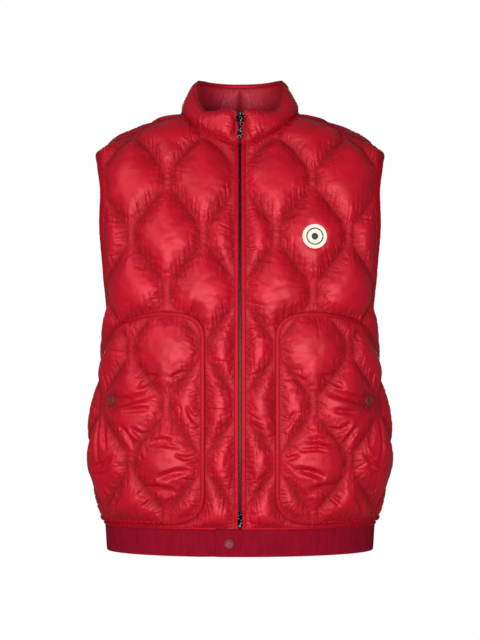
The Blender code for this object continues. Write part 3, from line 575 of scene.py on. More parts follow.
    def finish(self, look, lining):
        """Creases the cloth, closes it with its plain inside, and maps the cut and the stitches on it."""
        mesh = self.piece.data
        places, outward = read(mesh.vertices, "co", 3) / MM, read(mesh.vertices, "normal", 3)
        points = read(mesh.attributes["flat"].data, "vector", 3)[:, :2].astype(float)
        faces = read(mesh.polygons, "vertices", 3, np.int32)
        distance, along, _ = nearest_stitch(self.paths, points)
        held, level = self.held_height(points)
        free = (held < 0.5) & (distance > HELD)
        places = eased(places, faces, free, 6)
        spots, out = self.form(*points.T)
        most = 0.1 + 0.75 * np.maximum(((places - spots) * out).sum(axis=1) - self.outside, 0)
        depth, *fields = self.crease_depth(points, self.paths)
        for loop, fold_depth, wide in self.folds:
            away, along_fold, _ = nearest_stitch([loop], points)
            length = sum(math.dist(a, b) for a, b in zip(loop, loop[1:]))
            ends = np.clip(np.minimum(along_fold, length - along_fold) / (0.3 * length), 0, 1)
            depth += fold_depth * ends * (1 - 0.7 * (away / wide) ** 2) * np.exp(-((away / wide) ** 2))
        places -= outward * np.where(free, most * np.tanh(depth / most), 0)[:, None]
        self.close(points, faces, places, distance, along, fields, look, lining)

    def close(self, points, faces, places, distance, along, fields, look, lining):
        """Joins the outer cloth along its edge to a plain inside, cut from the same outline."""
        keys = set(map(tuple, side_pairs(faces).tolist()))
        follows = {a: b for a, b in keys if (b, a) not in keys}
        loop = [min(follows)]
        for _ in range(len(follows) - 1):
            loop.append(follows[loop[-1]])
        edge = points[loop]
        outline, step = [tuple(p) for p in edge], self.lining_step()
        grid = scattered(outline, step, 7)
        plain, plain_faces = cut_flat(outline, [closed_path(outline)], grid, step, AS_CUT)
        order = [int(np.argmin(((plain - p) ** 2).sum(axis=1))) for p in edge]
        spots, outward = self.form(*plain.T)
        start = len(points)
        ends = list(zip(loop, loop[1:] + loop[:1], order, order[1:] + order[:1]))
        walls = [(b, a, start + c, start + d) for a, b, c, d in ends]
        mesh = bpy.data.meshes.new(self.name)
        inner = spots + outward * self.lining_height(plain)[:, None]
        polygons = faces.tolist() + [[start + i for i in face[::-1]] for face in plain_faces.tolist()] + walls
        mesh.from_pydata((np.vstack([places, inner]) * MM).tolist(), [], polygons)
        mesh.materials.append(look)
        mesh.materials.append(lining)
        kinds = [0] * len(faces) + [1] * len(plain_faces) + [0] * len(walls)
        mesh.polygons.foreach_set("material_index", kinds)
        mesh.shade_smooth()
        mesh.set_sharp_from_angle(angle=math.radians(80))
        threaded = np.append(distance < HELD, np.zeros(len(plain), bool))
        threaded = threaded[read(mesh.edges, "vertices", 2, np.int32)].all(axis=1)
        sharp = read(mesh.edges, "use_edge_sharp", 1, bool)[:, 0]
        mesh.edges.foreach_set("use_edge_sharp", sharp | threaded)
        beside = nearest_stitch(self.lining_paths(), plain)
        maps = {
            "cut": np.vstack([points, plain]),
            "stitch": np.column_stack([np.append(along, beside[1]), np.append(distance, beside[0])]),
        }
        corners = read(mesh.loops, "vertex_index", 1, np.int32)[:, 0]
        for name, values in maps.items():
            layer = mesh.uv_layers.new(name=name)
            layer.data.foreach_set("uv", (values[corners] * MM).astype(np.float32).ravel())
        inner_fields = self.crease_depth(plain, self.lining_paths())[1:]
        # The pull and gather fields also darken the colour near stitches, as painted shade.
        for name, outer_values, inner_values in zip(("pull", "gather"), fields, inner_fields):
            attribute = mesh.attributes.new(name, "FLOAT", "POINT")
            attribute.data.foreach_set("value", np.append(outer_values, inner_values).astype(np.float32))
        self.piece.data = mesh

    def lining_step(self):
        return HIDDEN_STEP

    def lining_height(self, points):
        return np.full(len(points), float(self.inside))

    def lining_paths(self):
        return self.paths


def linear(code, alpha=1.0):
    """An sRGB hex colour as linear light."""
    parts = [int(code[i : i + 2], 16) / 255 for i in (1, 3, 5)]
    return (*(c / 12.92 if c <= 0.04045 else ((c + 0.055) / 1.055) ** 2.4 for c in parts), alpha)


def add_node(tree, kind, inputs=(), **settings):
    """A node with its settings. An input is a number, a colour or another node's output."""
    node = tree.nodes.new(kind)
    for name, value in settings.items():
        setattr(node, name, value)
    for socket, value in dict(inputs).items():
        if isinstance(value, bpy.types.NodeSocket):
            tree.links.new(value, node.inputs[socket])
        else:
            node.inputs[socket].default_value = value
    return node


def new_material(name, shader_inputs):
    """A material, its node tree and its Principled shader, which holds what is the same all over."""
    material = bpy.data.materials.new(name)
    material.use_nodes = True
    tree = material.node_tree
    shader = tree.nodes["Principled BSDF"]
    for socket, value in shader_inputs.items():
        shader.inputs[socket].default_value = value
    return material, tree, shader


def cloth_material(name, dark, light, shader_inputs, crinkle, soft, weave):
    """Woven cloth: crinkles out from its stitches, soft creases and its weave, in millimetres deep."""
    material, tree, shader = new_material(name, shader_inputs)
    cut = add_node(tree, "ShaderNodeUVMap", uv_map="cut").outputs["UV"]
    stitch = add_node(tree, "ShaderNodeUVMap", uv_map="stitch").outputs["UV"]
    # A thread pulls the cloth into creases some 3 mm apart and six times as long.
    pull = add_node(tree, "ShaderNodeAttribute", attribute_name="pull").outputs["Fac"]
    along = add_node(tree, "ShaderNodeVectorMath", {0: stitch, 1: (230, 45, 1)}, operation="MULTIPLY")
    noise = {"Vector": along.outputs[0], "Scale": 1.0, "Detail": 2.0}
    lines = add_node(tree, "ShaderNodeTexNoise", noise).outputs["Fac"]
    middle = add_node(tree, "ShaderNodeMath", {0: lines, 1: 0.5}, operation="SUBTRACT")
    sharp = add_node(tree, "ShaderNodeMath", {0: middle.outputs[0]}, operation="ABSOLUTE")
    creased = add_node(tree, "ShaderNodeMath", {0: sharp.outputs[0], 1: pull}, operation="MULTIPLY")
    noise = {"Vector": cut, "Scale": 75.0, "Detail": 3.0, "Distortion": 0.6}
    wide = add_node(tree, "ShaderNodeTexNoise", noise)
    # Taffeta has some 50 threads a centimetre; they are drawn 1 mm apart, or they wouldn't show.
    threads = add_node(tree, "ShaderNodeTexNoise", {"Vector": cut, "Scale": 1000.0, "Detail": 1.0})
    height = 0.0
    for source, depth in ((creased, crinkle), (wide, soft), (threads, weave)):
        terms = {0: source.outputs[0], 1: depth, 2: height}
        height = add_node(tree, "ShaderNodeMath", terms, operation="MULTIPLY_ADD").outputs[0]
    bump = add_node(tree, "ShaderNodeBump", {"Height": height, "Distance": MM, "Strength": 1.0})
    tree.links.new(bump.outputs["Normal"], shader.inputs["Normal"])
    # The dye takes a little unevenly, and near a stitch the colour is painted darker, as painted shade where
    # the cloth turns in.
    patchy = add_node(tree, "ShaderNodeTexNoise", {"Vector": cut, "Scale": 22.0, "Detail": 2.0})
    # Painted shade: the pull near a stitch scales the mix towards the dark colour.
    limits = {"Value": pull, "From Max": 0.9, "To Min": 1.0, "To Max": 0.35}
    away = add_node(tree, "ShaderNodeMapRange", limits)
    terms = {0: patchy.outputs[0], 1: away.outputs[0]}
    share = add_node(tree, "ShaderNodeMath", terms, operation="MULTIPLY")
    colours = {0: share.outputs[0], 6: linear(dark), 7: linear(light)}
    mixed = add_node(tree, "ShaderNodeMix", colours, data_type="RGBA").outputs[2]
    # Close to a stitch the colour is painted darker in deep streaks, as painted shade of the gathers on one
    # another, and the gathers also scatter what a flat face reflects.
    gather = add_node(tree, "ShaderNodeAttribute", attribute_name="gather").outputs["Fac"]
    limits = {"Value": lines, "From Min": 0.35, "From Max": 0.65, "To Min": 0.2, "To Max": 0.85}
    streaks = add_node(tree, "ShaderNodeMapRange", limits)
    terms = {0: gather, 1: streaks.outputs[0]}
    deep = add_node(tree, "ShaderNodeMath", terms, operation="MULTIPLY").outputs[0]
    shade = add_node(tree, "ShaderNodeMix", {0: deep, 6: mixed, 7: linear("#80000A")}, data_type="RGBA")
    tree.links.new(shade.outputs[2], shader.inputs["Base Color"])
    even = shader_inputs["Roughness"]
    scatter = add_node(tree, "ShaderNodeMapRange", {"Value": gather, "To Min": even, "To Max": even + 0.4})
    tree.links.new(scatter.outputs[0], shader.inputs["Roughness"])
    return material


SHELL = {"Roughness": 0.46, "Metallic": 0.12, "Specular IOR Level": 0.55}
SHELL["Specular Tint"] = linear("#FFC0C6")
# Down-proof nylon taffeta, calendered on its face: satin, with broad rosy highlights over a deep red. Its
# threads colour what they reflect, so the shader is part metal.
shell_taffeta = cloth_material("shell_nylon_taffeta", "#A00014", "#D00A2A", SHELL, 3.0, 0.35, 0.04)
# The same taffeta inside, lit only through the neck and armholes.
lining_taffeta = cloth_material("lining_nylon_taffeta", "#9A1024", "#C4283A", SHELL, 2.2, 0.9, 0.04)

POCKET_SEWN = (
    (179, -310), (150, -303), (122, -298), (95, -298.5), (77, -302), (63, -310), (55, -322), (52.5, -338),
    (52.5, -572), (55.5, -588), (64, -602), (78, -611), (94, -615.5),
)
POCKET_OPENING = ((282, -458), (274, -430), (262, -402), (246, -373), (225, -346), (202, -325))
POCKET_HEM_V = -616.0
POCKET_HEM_U = 104.0
POCKET_SIDE_GAP = 4.0  # from a pocket to the side seam
POCKET_TAPE = 6.0
LAY_GAP = 0.5  # between two pieces that lie on each other
PATCH = {"u": 110.0, "v": -187.0, "radius": 18.5, "lift": 15.0}


def rounded(path, steps=4):
    """A smooth curve through the points of a path."""
    points = [Vector(p) for p in path]
    points = [2 * points[0] - points[1], *points, 2 * points[-1] - points[-2]]
    curve = []
    for a, b, c, d in zip(points, points[1:], points[2:], points[3:]):
        for t in np.linspace(0, 1, steps + 1)[:-1]:
            spot = b + (c - a) * t / 2 + (2 * a - 5 * b + 4 * c - d) * t**2 / 2
            curve.append(tuple(spot + (3 * b - a - 3 * c + d) * t**3 / 2))
    return curve + [tuple(path[-1])]


def pocket_edges():
    """The whole pocket, flat: its sewn edge, the hem, the side and the hand opening."""
    hem_end = side_length(POCKET_HEM_V) - POCKET_SIDE_GAP
    rises = np.linspace(POCKET_HEM_V, POCKET_OPENING[0][1], 30)
    side = [(side_length(v) - POCKET_SIDE_GAP, v) for v in rises]
    sewn = rounded(spaced([*POCKET_SEWN, (POCKET_HEM_U, POCKET_HEM_V)], 20))
    opening = rounded([*POCKET_OPENING, POCKET_SEWN[0]])
    return sewn, [(POCKET_HEM_U, POCKET_HEM_V), (hem_end, POCKET_HEM_V)], side, opening


def circle(centre, radius, segments):
    turns = [2 * math.pi / segments * i for i in range(segments)]
    return [(centre["u"] + radius * math.cos(a), centre["v"] + radius * math.sin(a)) for a in turns]


sewn, hem, pocket_side, opening = pocket_edges()
whole_pocket = sewn[:-1] + hem[:-1] + pocket_side[:-1] + opening[:-1]
patch_seat = (circle(PATCH, PATCH["radius"] + LAY_GAP, 36), PATCH["lift"])
front_lines = [quilt_line(n, HEM_V, 10) for n in range(6)]


def other_side(path):
    """The same flat path on the wearer's right."""
    return [(-u, v) for u, v in path]


SIDES = (("left", 1, list), ("right", -1, other_side))
LEVELS = (0.0, SEAM_WALL, PUFF)  # the lining's height, the stitched cloth's, and the puff of a full cell
for seed, (side, _, turned) in enumerate(SIDES, 11):
    hidden = [(turned(inset(whole_pocket, -LAY_GAP)), SEAM_WALL)]
    if side == "left":
        hidden.append(patch_seat)
    lines = [turned(line) for line in front_lines] + [closed_path(hidden[0][0])]
    Quilt(f"quilted_front_{side}", turned(front_outline()), lines, on_front, *LEVELS, hidden, seed)

# ---- Back ----
# The back is one piece of the same quilting from side seam to side seam, and runs over the shoulders to
# meet the fronts at seams that lie 25 mm ahead of the shoulder line.


def on_back(u, v):
    """Here u runs to the wearer's right from the middle of the back."""
    return placed(lambda a, b: body_points("back", -a, b), u, v)


def half_girth(v):
    return float(section(v)[2][-1])


def back_outline():
    """The half towards +u from the middle of the neck to the middle of the hem, then the other half."""
    neck = [neck_uv(a) for a in np.linspace(0, neck_angle_at_y(SHOULDER_SEAM_Y[0]), 40)[:-1]]
    top = armhole_angle_at_y(SHOULDER_SEAM_Y[1], ARMHOLE_BINDING)
    armhole = [armhole_uv(a, ARMHOLE_BINDING) for a in np.linspace(top, -0.5 * math.pi, 60)[:-1]]
    half = neck + shoulder_seam() + armhole + side_and_hem(half_girth(HEM_V))
    half = [(half_girth(v) - u, v) for u, v in half]
    return inset(half + [(-u, v) for u, v in half[-2:0:-1]], SEAM_GAP)


back_lines = [quilt_line(n, HEM_V, 70) for n in range(-7, 7)]
Quilt("quilted_back", back_outline(), back_lines, on_back, *LEVELS, seed=13, fine=False)

# ---- Collar ----
# A stand collar of the same taffeta, filled but not quilted, joined to the neck and at the zip. Its lining
# has a seam at the middle of the back, and the filling is drawn into short creases from every seam.
RIM_OVAL = {"half_width": 64.0, "front": 71.0, "back": 57.0, "squareness": 2.2}
RIM_Y = (-71, -70.4, -68, -61, -47, -30, 0, 15, 32, 57)
RIM_Z = (3, 8.5, 10.5, 7, 7, 22, 52, 62.5, 63.5, 61.5)
COLLAR_TALL = 55.0
COLLAR_WAIST = 4.0  # how far it is drawn in halfway up
COLLAR_PUFF = 8.0
LINING_FINE = 2.2
LINING_SEAM = 49  # up to the stitching of the tape that finishes its inside


def collar_edges(samples=120):
    """Base and rim from the middle of the back to the middle of the front."""
    angles = np.linspace(0, math.pi, samples + 1)
    base, outward = on_front(*np.array([neck_uv(a) for a in angles]).T)
    base[:, 2] += SEAM_WALL * np.maximum(outward[:, 2], 0)
    base[0, 0] = base[-1, 0] = 0.0
    plan = np.array([oval_xy(RIM_OVAL, a) for a in angles])
    return base, np.column_stack([plan, np.interp(plan[:, 1], RIM_Y, RIM_Z)])


collar_base, collar_rim = collar_edges()
BASE_RUN = summed(np.linalg.norm(np.diff(collar_base, axis=0), axis=1))
COLLAR_REACH = float(BASE_RUN[-1])  # from the middle of the back to the middle of the front


def collar_points(s, t):
    """s runs to the wearer's right along the base from the middle of the back, t from base to rim."""
    low, high = (
        np.stack([np.interp(np.abs(s), BASE_RUN, edge[:, i]) for i in range(3)], axis=-1)
        for edge in (collar_base, collar_rim)
    )
    share = np.asarray(t / COLLAR_TALL)[..., None]
    spots = low + (high - low) * share
    waist = COLLAR_WAIST * low[..., 0] / NECK_OVAL["half_width"] * (4 * share * (1 - share))[..., 0]
    spots[..., 0] = -np.copysign(spots[..., 0] - waist, s)
    return spots


def on_collar(s, t):
    return placed(collar_points, s, t)


class Collar(Quilt):
    """Its inside shows, so it is cut finer there and is drawn in at its own seams."""

    def lining_step(self):
        return LINING_FINE

    def lining_paths(self):
        across = [(-262, LINING_SEAM), (262, LINING_SEAM)]
        return [[(0, 0), (0, COLLAR_TALL)], across, closed_path(self.outline)]

    def lining_height(self, points):
        paths = self.lining_paths()
        puffed = -1.6 * (1 - np.exp(-nearest_stitch(paths, points)[0] / 6))
        return puffed + 0.35 * self.crease_depth(points, paths)[0]


END = COLLAR_REACH - FRONT_EDGE
outline = [(-END, 0), (END, 0), (END, COLLAR_TALL), (-END, COLLAR_TALL)]
levels = (0.0, SEAM_WALL, COLLAR_PUFF)
Collar("stand_collar", outline, [], on_collar, *levels, seed=14, creases=0.6, bulge=10)

# ---- Pockets ----
# Patch pockets of the same quilting, filled a little less, laid on the fronts with their stitch lines in
# step. A taffeta tape binds them round their sewn edges and is ruched along the hem.
POCKET_PUFF = 11.0
POCKET_SNAP = {"u": 197.0, "v": -432.0}
SNAP_SEAT = 9.5  # the radius where a snap presses the pocket flat
POCKET_BASE = SEAM_WALL + LAY_GAP
FIELD_EDGE, TAPE_INNER = POCKET_TAPE + 0.3, POCKET_TAPE + 0.7  # the tape laps over the filled field


def drawn_in(loop, distance):
    """The same number of points, moved inwards, with none nearer to the edge than the distance."""
    moved = np.array(inset(loop, distance))
    clear = nearest_stitch([closed_path(loop)], moved)[0] > distance - 0.15
    good = np.flatnonzero(clear)
    for i in np.flatnonzero(~clear):
        moved[i] = moved[good[np.argmin(np.minimum((good - i) % len(loop), (i - good) % len(loop)))]]
    return [tuple(p) for p in moved]


pocket_rim = spaced(closed_path(whole_pocket), 4.0)[:-1]
pocket_field = list(dict.fromkeys(drawn_in(pocket_rim, FIELD_EDGE)))
snap_seat = circle(POCKET_SNAP, SNAP_SEAT, 28)
# Where a hand has pushed the filling aside, and where the snaps pull, the cloth lies in longer folds. Each
# has its path, its depth and its width.
POCKET_FOLDS = (
    (((190, -437), (168, -432), (140, -424), (124, -416)), 9.0, 7.5),
    (((178, -446), (156, -443), (132, -440)), 4.5, 5.0),
    (((138, -490), (116, -484), (94, -486)), 9.0, 6.0),
    (((128, -504), (112, -499), (82, -502)), 4.0, 3.5),
    (((126, -548), (102, -539), (78, -536)), 9.0, 6.0),
    (((154, -572), (128, -563), (96, -566)), 10.0, 7.5),
    (((148, -590), (134, -578), (128, -566)), 4.5, 3.5),
    (((92, -514), (74, -520), (60, -516)), 5.0, 4.0),
    (((176, -462), (160, -486), (150, -504)), 6.0, 5.5),
    (((162, -468), (146, -480), (126, -478)), 6.5, 5.0),
    (((206, -446), (200, -480), (194, -506)), 4.5, 4.0),
    (((224, -440), (216, -472), (214, -508), (206, -534)), 4.5, 4.0),
    (((238, -450), (234, -488), (228, -524)), 4.5, 3.8),
    (((184, -508), (198, -524), (222, -530)), 5.5, 4.5),
    (((190, -528), (202, -540), (220, -544)), 4.5, 4.0),
    (((156, -416), (134, -398), (120, -394)), 6.0, 5.0),
    (((104, -402), (84, -392), (66, -394)), 4.0, 4.5),
    (((84, -440), (72, -462), (60, -468)), 4.0, 4.5),
    (((172, -566), (186, -584), (190, -606)), 5.0, 5.0),
)
levels = (POCKET_BASE, POCKET_BASE + SEAM_WALL, POCKET_PUFF)
for seed, (side, _, turned) in enumerate(SIDES, 15):
    lines = [turned(line) for line in front_lines] + [closed_path(turned(snap_seat))]
    hidden = [(turned(snap_seat), POCKET_BASE + SEAM_WALL)]
    shifts = np.random.default_rng(seed).uniform(-5, 5, (len(POCKET_FOLDS), 2))
    folds = [
        (turned([(u + a, v + b) for u, v in path]), *size)
        for (path, *size), (a, b) in zip(POCKET_FOLDS, shifts)
    ]
    field = turned(pocket_field)
    Quilt(f"quilted_pocket_{side}", field, lines, on_front, *levels, hidden, seed, folds=folds)

# ---- Filling ----
# Down is blown into every cell before the last seams are closed. All pieces are filled together here, and
# each then takes over its filled shape, its creases and its closed inside.
for step in range(1, FILLING["frames"] + 1):
    bpy.context.scene.frame_set(step)
for quilt in QUILTS:
    quilt.settle()
bpy.context.scene.frame_set(1)
for quilt in QUILTS:
    quilt.finish(shell_taffeta, lining_taffeta)
    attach(quilt.piece, "vest")
    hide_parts(quilt.name.split("_", 1)[1])

# ---- Pocket tapes ----
# Grosgrain-edged taffeta tape, folded over each pocket's raw edge and topstitched: plain up the sewn side,
# ruched along the hem, and a firmer lip along the hand opening.
TRIM = {"Roughness": 0.5, "Metallic": 0.15, "Specular IOR Level": 0.3}
TRIM["Specular Tint"] = linear("#FFA0A8")
# Creased less than the shell, because the fold and its stitching hold it flat.
tape_taffeta = cloth_material("tape_taffeta", "#960014", "#BC0A24", TRIM, 0.5, 0.3, 0.06)
TAPE_CORNERS = 12


def rolled(name, rings, material, closed=False):
    """A strip: a grid rolled round its section and laid through rings of points, closed at its ends."""
    long, around = rings.shape[:2]
    bm = bmesh.new()
    cut = bm.loops.layers.uv.new("cut")
    stitch = bm.loops.layers.uv.new("stitch")
    pull = bm.verts.layers.float.new("pull")
    segments = long if closed else long - 1
    bmesh.ops.create_grid(bm, x_segments=segments, y_segments=around, size=0.5)
    middle = rings.mean(axis=1)
    run = summed(np.linalg.norm(np.diff(middle, axis=0), axis=1))
    run = np.append(run, run[-1] + np.linalg.norm(middle[-1] - middle[0]))
    girth = np.linalg.norm(rings[0] - np.roll(rings[0], -1, axis=0), axis=1).sum()
    for vert in bm.verts:
        i, j = round((vert.co.x + 0.5) * segments), round((vert.co.y + 0.5) * around)
        vert.co = rings[i % long, j % around] * MM
        vert[pull] = 0.5
        for loop in vert.link_loops:
            loop[cut].uv = (run[i] * MM, j / around * girth * MM)
            loop[stitch].uv = (run[i] * MM, 0.012 * abs(j / around - 0.5))
    bmesh.ops.remove_doubles(bm, verts=bm.verts, dist=1e-7)
    if not closed:
        bmesh.ops.holes_fill(bm, edges=bm.edges, sides=0)
    bmesh.ops.recalc_face_normals(bm, faces=bm.faces)
    return add_piece(name, bm, material)


def add_piece(name, bm, material, sharp=60):
    """A finished piece of the vest, with its edges sharp above an angle in degrees."""
    mesh = bpy.data.meshes.new(name)
    bm.to_mesh(mesh)
    bm.free()
    mesh.materials.append(material)
    mesh.shade_smooth()
    mesh.set_sharp_from_angle(angle=math.radians(sharp))
    piece = in_scene(name, mesh)
    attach(piece, "vest")
    return piece


def tape_rings(form, edge, inner, low, high, wave=0.0, boxy=0.4):
    """Rings of a tape between two flat paths and two heights, rounded over at its edges."""
    turn = np.linspace(0, 2 * math.pi, TAPE_CORNERS, endpoint=False)
    across = 0.5 - 0.5 * np.sign(np.cos(turn)) * np.abs(np.cos(turn)) ** boxy
    up = np.sign(np.sin(turn)) * np.abs(np.sin(turn)) ** boxy
    edge, inner = np.array(edge), np.array(inner)
    flat = edge[:, None] * (1 - across[None, :, None]) + inner[:, None] * across[None, :, None]
    spots, outward = form(flat[..., 0], flat[..., 1])
    height = (high + low) / 2 + up[None, :] * (high - low) / 2
    height = height + np.maximum(up, 0)[None, :] * np.reshape(wave * np.ones(len(edge)), (-1, 1))
    return spots + outward * height[..., None]


TAPE_OVER = 0.4  # a tape stands this far over the cloth that it binds
RUCHED, PLAIN = 0.9, 0.12  # how far the tape waves along the hem, and elsewhere
outer = spaced(closed_path(whole_pocket), 2.0)[:-1]
inner = drawn_in(outer, TAPE_INNER)
on_hem = [v < POCKET_HEM_V + 0.01 for _, v in outer]
bound = list(range(max(np.flatnonzero(on_hem)) + 1))
lip = [i for i, (u, v) in enumerate(outer) if v > POCKET_OPENING[0][1] - 0.01 and u > POCKET_SEWN[0][0]]
ruched = np.array([RUCHED if low and u > POCKET_HEM_U else PLAIN for (u, _), low in zip(outer, on_hem)])
alternate = np.where(np.arange(len(outer)) % 2, 0.9, -0.3)
levels = (POCKET_BASE, POCKET_BASE + SEAM_WALL + TAPE_OVER)
for seed, (side, _, turned) in enumerate(SIDES, 21):
    wave = ruched * (np.random.default_rng(seed).uniform(-0.9, 1.3, len(outer)) + alternate)
    for name, chosen, rise in (("binding", bound, wave), ("edge", lip, wave * 0)):
        edges = (turned([path[i] for i in chosen]) for path in (outer, inner))
        rings = tape_rings(on_front, *edges, *levels, wave=rise[chosen])
        piece = rolled(f"pocket_{name}_tape_{side}", rings, tape_taffeta)
        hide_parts(f"pocket_{name}_{side}")

# ---- Armhole bindings ----
# A strip of the taffeta, cut on the bias so that it stretches round the curve, is folded over the raw
# armhole and stitched down, a little gathered.
turns = np.linspace(0, 2 * math.pi, 360, endpoint=False)
edges = [[armhole_uv(a, grow) for a in turns] for grow in (ARMHOLE_BINDING + TAPE_OVER, 0.0)]
for seed, (side, _, turned) in enumerate(SIDES, 31):
    wave = np.random.default_rng(seed).uniform(-0.25, 0.25, len(turns))
    rings = tape_rings(on_front, *map(turned, edges), -TAPE_OVER, SEAM_WALL + TAPE_OVER, wave=wave)
    piece = rolled(f"armhole_bias_{side}", rings, tape_taffeta, closed=True)
    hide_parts(f"armhole_binding_{side}")

# ---- Neck seam ----
# The seam that joins the collar to the body is covered outside by a narrow fold of the shell, and a flat
# tape finishes the collar inside, under its rim.
shell_fold = cloth_material("shell_fold_taffeta", "#8A0012", "#AC081E", TRIM, 0.8, 0.3, 0.04)


def collar_strip(name, edges, levels, material, boxy=0.4):
    """A strip round the collar, between two lengths up it and two heights over it."""
    paths = ([(s, t) for s in np.linspace(-END, END, 260)] for t in edges)
    rolled(name, tape_rings(on_collar, *paths, *levels, boxy=boxy), material)


collar_strip("neck_seam_fold", (-2.4, 1.4), (0.3, SEAM_WALL + 0.7), shell_fold, 0.8)
under_rim = (COLLAR_TALL - 0.8, COLLAR_TALL - 6.5)
collar_strip("collar_finishing_tape", under_rim, (-2.6, -0.4), tape_taffeta)

# ---- Seam allowances ----
# The panels' raw edges are turned to the inside at the side and shoulder seams and covered by a narrow strip
# of the lining taffeta.
ALLOWANCE = 4.5
side_seam = [(side_length(v), v) for v in np.linspace(side_and_hem(FRONT_EDGE)[0][1], HEM_V, 120)]
seams = (("side", side_seam, ALLOWANCE, 0), ("shoulder", shoulder_seam(), 0, ALLOWANCE))
for (side, _, turned), (name, seam, du, dv) in itertools.product(SIDES, seams):
    edges = (turned([(u + way * du, v + way * dv) for u, v in seam]) for way in (-1, 1))
    rings = tape_rings(on_front, *edges, -1.5, -0.3)
    rolled(f"{name}_seam_allowance_{side}", rings, lining_taffeta)

# ---- Front edges and zip ----
# A flat taffeta strip finishes each front beside the zip. The zip's woven tapes are sewn behind them, and
# its metal teeth are clamped to the tapes' edges, 2.5 mm apart.
STRIP = (2.0, 8.8)  # a strip's edges, from the middle of the front
TAPE = (0.35, 12.0)  # and those of a woven tape
TAPE_DEEP = (-2.9, -1.7)  # its two faces, over the form


def on_run(edge, height, spacing):
    """Points up the front, at a distance from the middle and a height over the form."""
    up_body = np.arange(HEM_V, neck_uv(math.pi)[1] - 4, spacing)
    up_collar = np.arange(4, COLLAR_TALL + 0.01, spacing)
    on_base = math.copysign(COLLAR_REACH - abs(edge), -edge)
    points = []
    for form, along, up in ((on_front, edge, up_body), (on_collar, on_base, up_collar)):
        spots, outward = form(np.full(len(up), along), up)
        points.append(spots + outward * height)
    return np.vstack(points)


def flat_section(corners, squareness):
    """The corners of a strip's section, from -1 to 1 across and up."""
    turns = np.linspace(0, 2 * math.pi, corners, endpoint=False) + math.pi / corners
    return [(lobed(math.cos(a), squareness), lobed(math.sin(a), 0.5)) for a in turns]


def run_rings(edges, low, high, spacing, corners=8, wave=0.0, seed=1):
    """A strip up the front between two distances from the middle and two heights."""
    section = flat_section(corners, 0.4)
    columns = []
    for across, up in section:
        edge = (edges[0] + edges[1]) / 2 + across * (edges[1] - edges[0]) / 2
        columns.append(on_run(edge, (low + high) / 2 + up * (high - low) / 2, spacing))
    rings = np.stack(columns, axis=1)
    ripple = np.convolve(np.random.default_rng(seed).normal(0, wave, len(rings)), np.ones(3) / 3, "same")
    rings[:, :, 1] -= ripple[:, None] * [up > 0 for _, up in section]
    return rings


tape_weave = cloth_material("zip_tape_twill", "#5E0610", "#8A0C1A", {"Roughness": 0.8}, 0.0, 0.2, 0.25)
for side, way, _ in SIDES:
    rings = run_rings([way * x for x in STRIP], 0.2, SEAM_WALL + TAPE_OVER, 2.5, 12, 0.25, 40 + way)
    piece = rolled(f"front_strip_{side}", rings, tape_taffeta)
    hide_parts(f"front_binding_{side}")
    rings = run_rings([way * x for x in TAPE], *TAPE_DEEP, 6.0)
    piece = rolled(f"zip_woven_tape_{side}", rings, tape_weave)
    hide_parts(f"zip_tape_{side}")
    long = np.linalg.norm(np.diff(rings.mean(axis=1), axis=0), axis=1).sum() * MM
    size = ((TAPE[1] - TAPE[0]) * MM, long)


def mottled_metal(name, shader_inputs, scale, detail, dark, light, contrast=None):
    """A metal mottled between two colours in grains of 1 / scale metres, sharper with some contrast."""
    material, tree, shader = new_material(name, shader_inputs)
    spot = add_node(tree, "ShaderNodeTexCoord").outputs["Object"]
    noise = {"Vector": spot, "Scale": scale, "Detail": detail}
    grain = add_node(tree, "ShaderNodeTexNoise", noise).outputs["Fac"]
    if contrast:
        terms = {0: grain, 1: contrast[0], 2: contrast[1]}
        sharper = add_node(tree, "ShaderNodeMath", terms, operation="MULTIPLY_ADD", use_clamp=True)
        grain = sharper.outputs[0]
    colours = {0: grain, 6: linear(dark), 7: linear(light)}
    mottled_colour = add_node(tree, "ShaderNodeMix", colours, data_type="RGBA")
    tree.links.new(mottled_colour.outputs[2], shader.inputs["Base Color"])
    return material


# Oxidised brass teeth, polished bright on their tips.
POLISHED = {"Metallic": 1.0, "Roughness": 0.3}
oxidised = mottled_metal("oxidised_brass", POLISHED, 900.0, 2.0, "#0C0A0A", "#54382E")
TOOTH = {"pitch": 2.5, "wide": 2.4, "tall": 1.25, "deep": 1.5, "bevel": 0.25}
TOOTH_EDGE, TOOTH_HEIGHT = 0.75, -0.95  # a tooth's middle, from the middle of the front and over the form
TOOTH_STEP = 0.6  # up on one side and down on the other, so that the two sides mesh

# Each tooth is a bevelled block, copied up the tape.
for side, way, _ in SIDES:
    bm = bmesh.new()
    spots, ahead = (on_run(way * TOOTH_EDGE, TOOTH_HEIGHT + rise, TOOTH["pitch"]) for rise in (0, 1))
    for i in range(1, len(spots) - 1):
        up = Vector(spots[i + 1] - spots[i - 1]).normalized()
        out = Vector(ahead[i] - spots[i]).normalized()
        across = up.cross(out).normalized()
        axes = Matrix((across, up, out)).transposed().to_4x4()
        place = Matrix.Translation(Vector(spots[i]) + up * TOOTH_STEP * way) @ axes
        size = Matrix.Diagonal((TOOTH["wide"], TOOTH["tall"], TOOTH["deep"], 1))
        made = bmesh.ops.create_cube(bm, size=1.0, matrix=place @ size)
        rims = sorted({e for v in made["verts"] for e in v.link_edges}, key=lambda e: e.index)
        bmesh.ops.bevel(bm, geom=rims, offset=TOOTH["bevel"], segments=1, affect="EDGES")
    bmesh.ops.scale(bm, verts=bm.verts, vec=(MM, MM, MM))
    add_piece(f"zip_teeth_{side}", bm, oxidised, sharp=30)
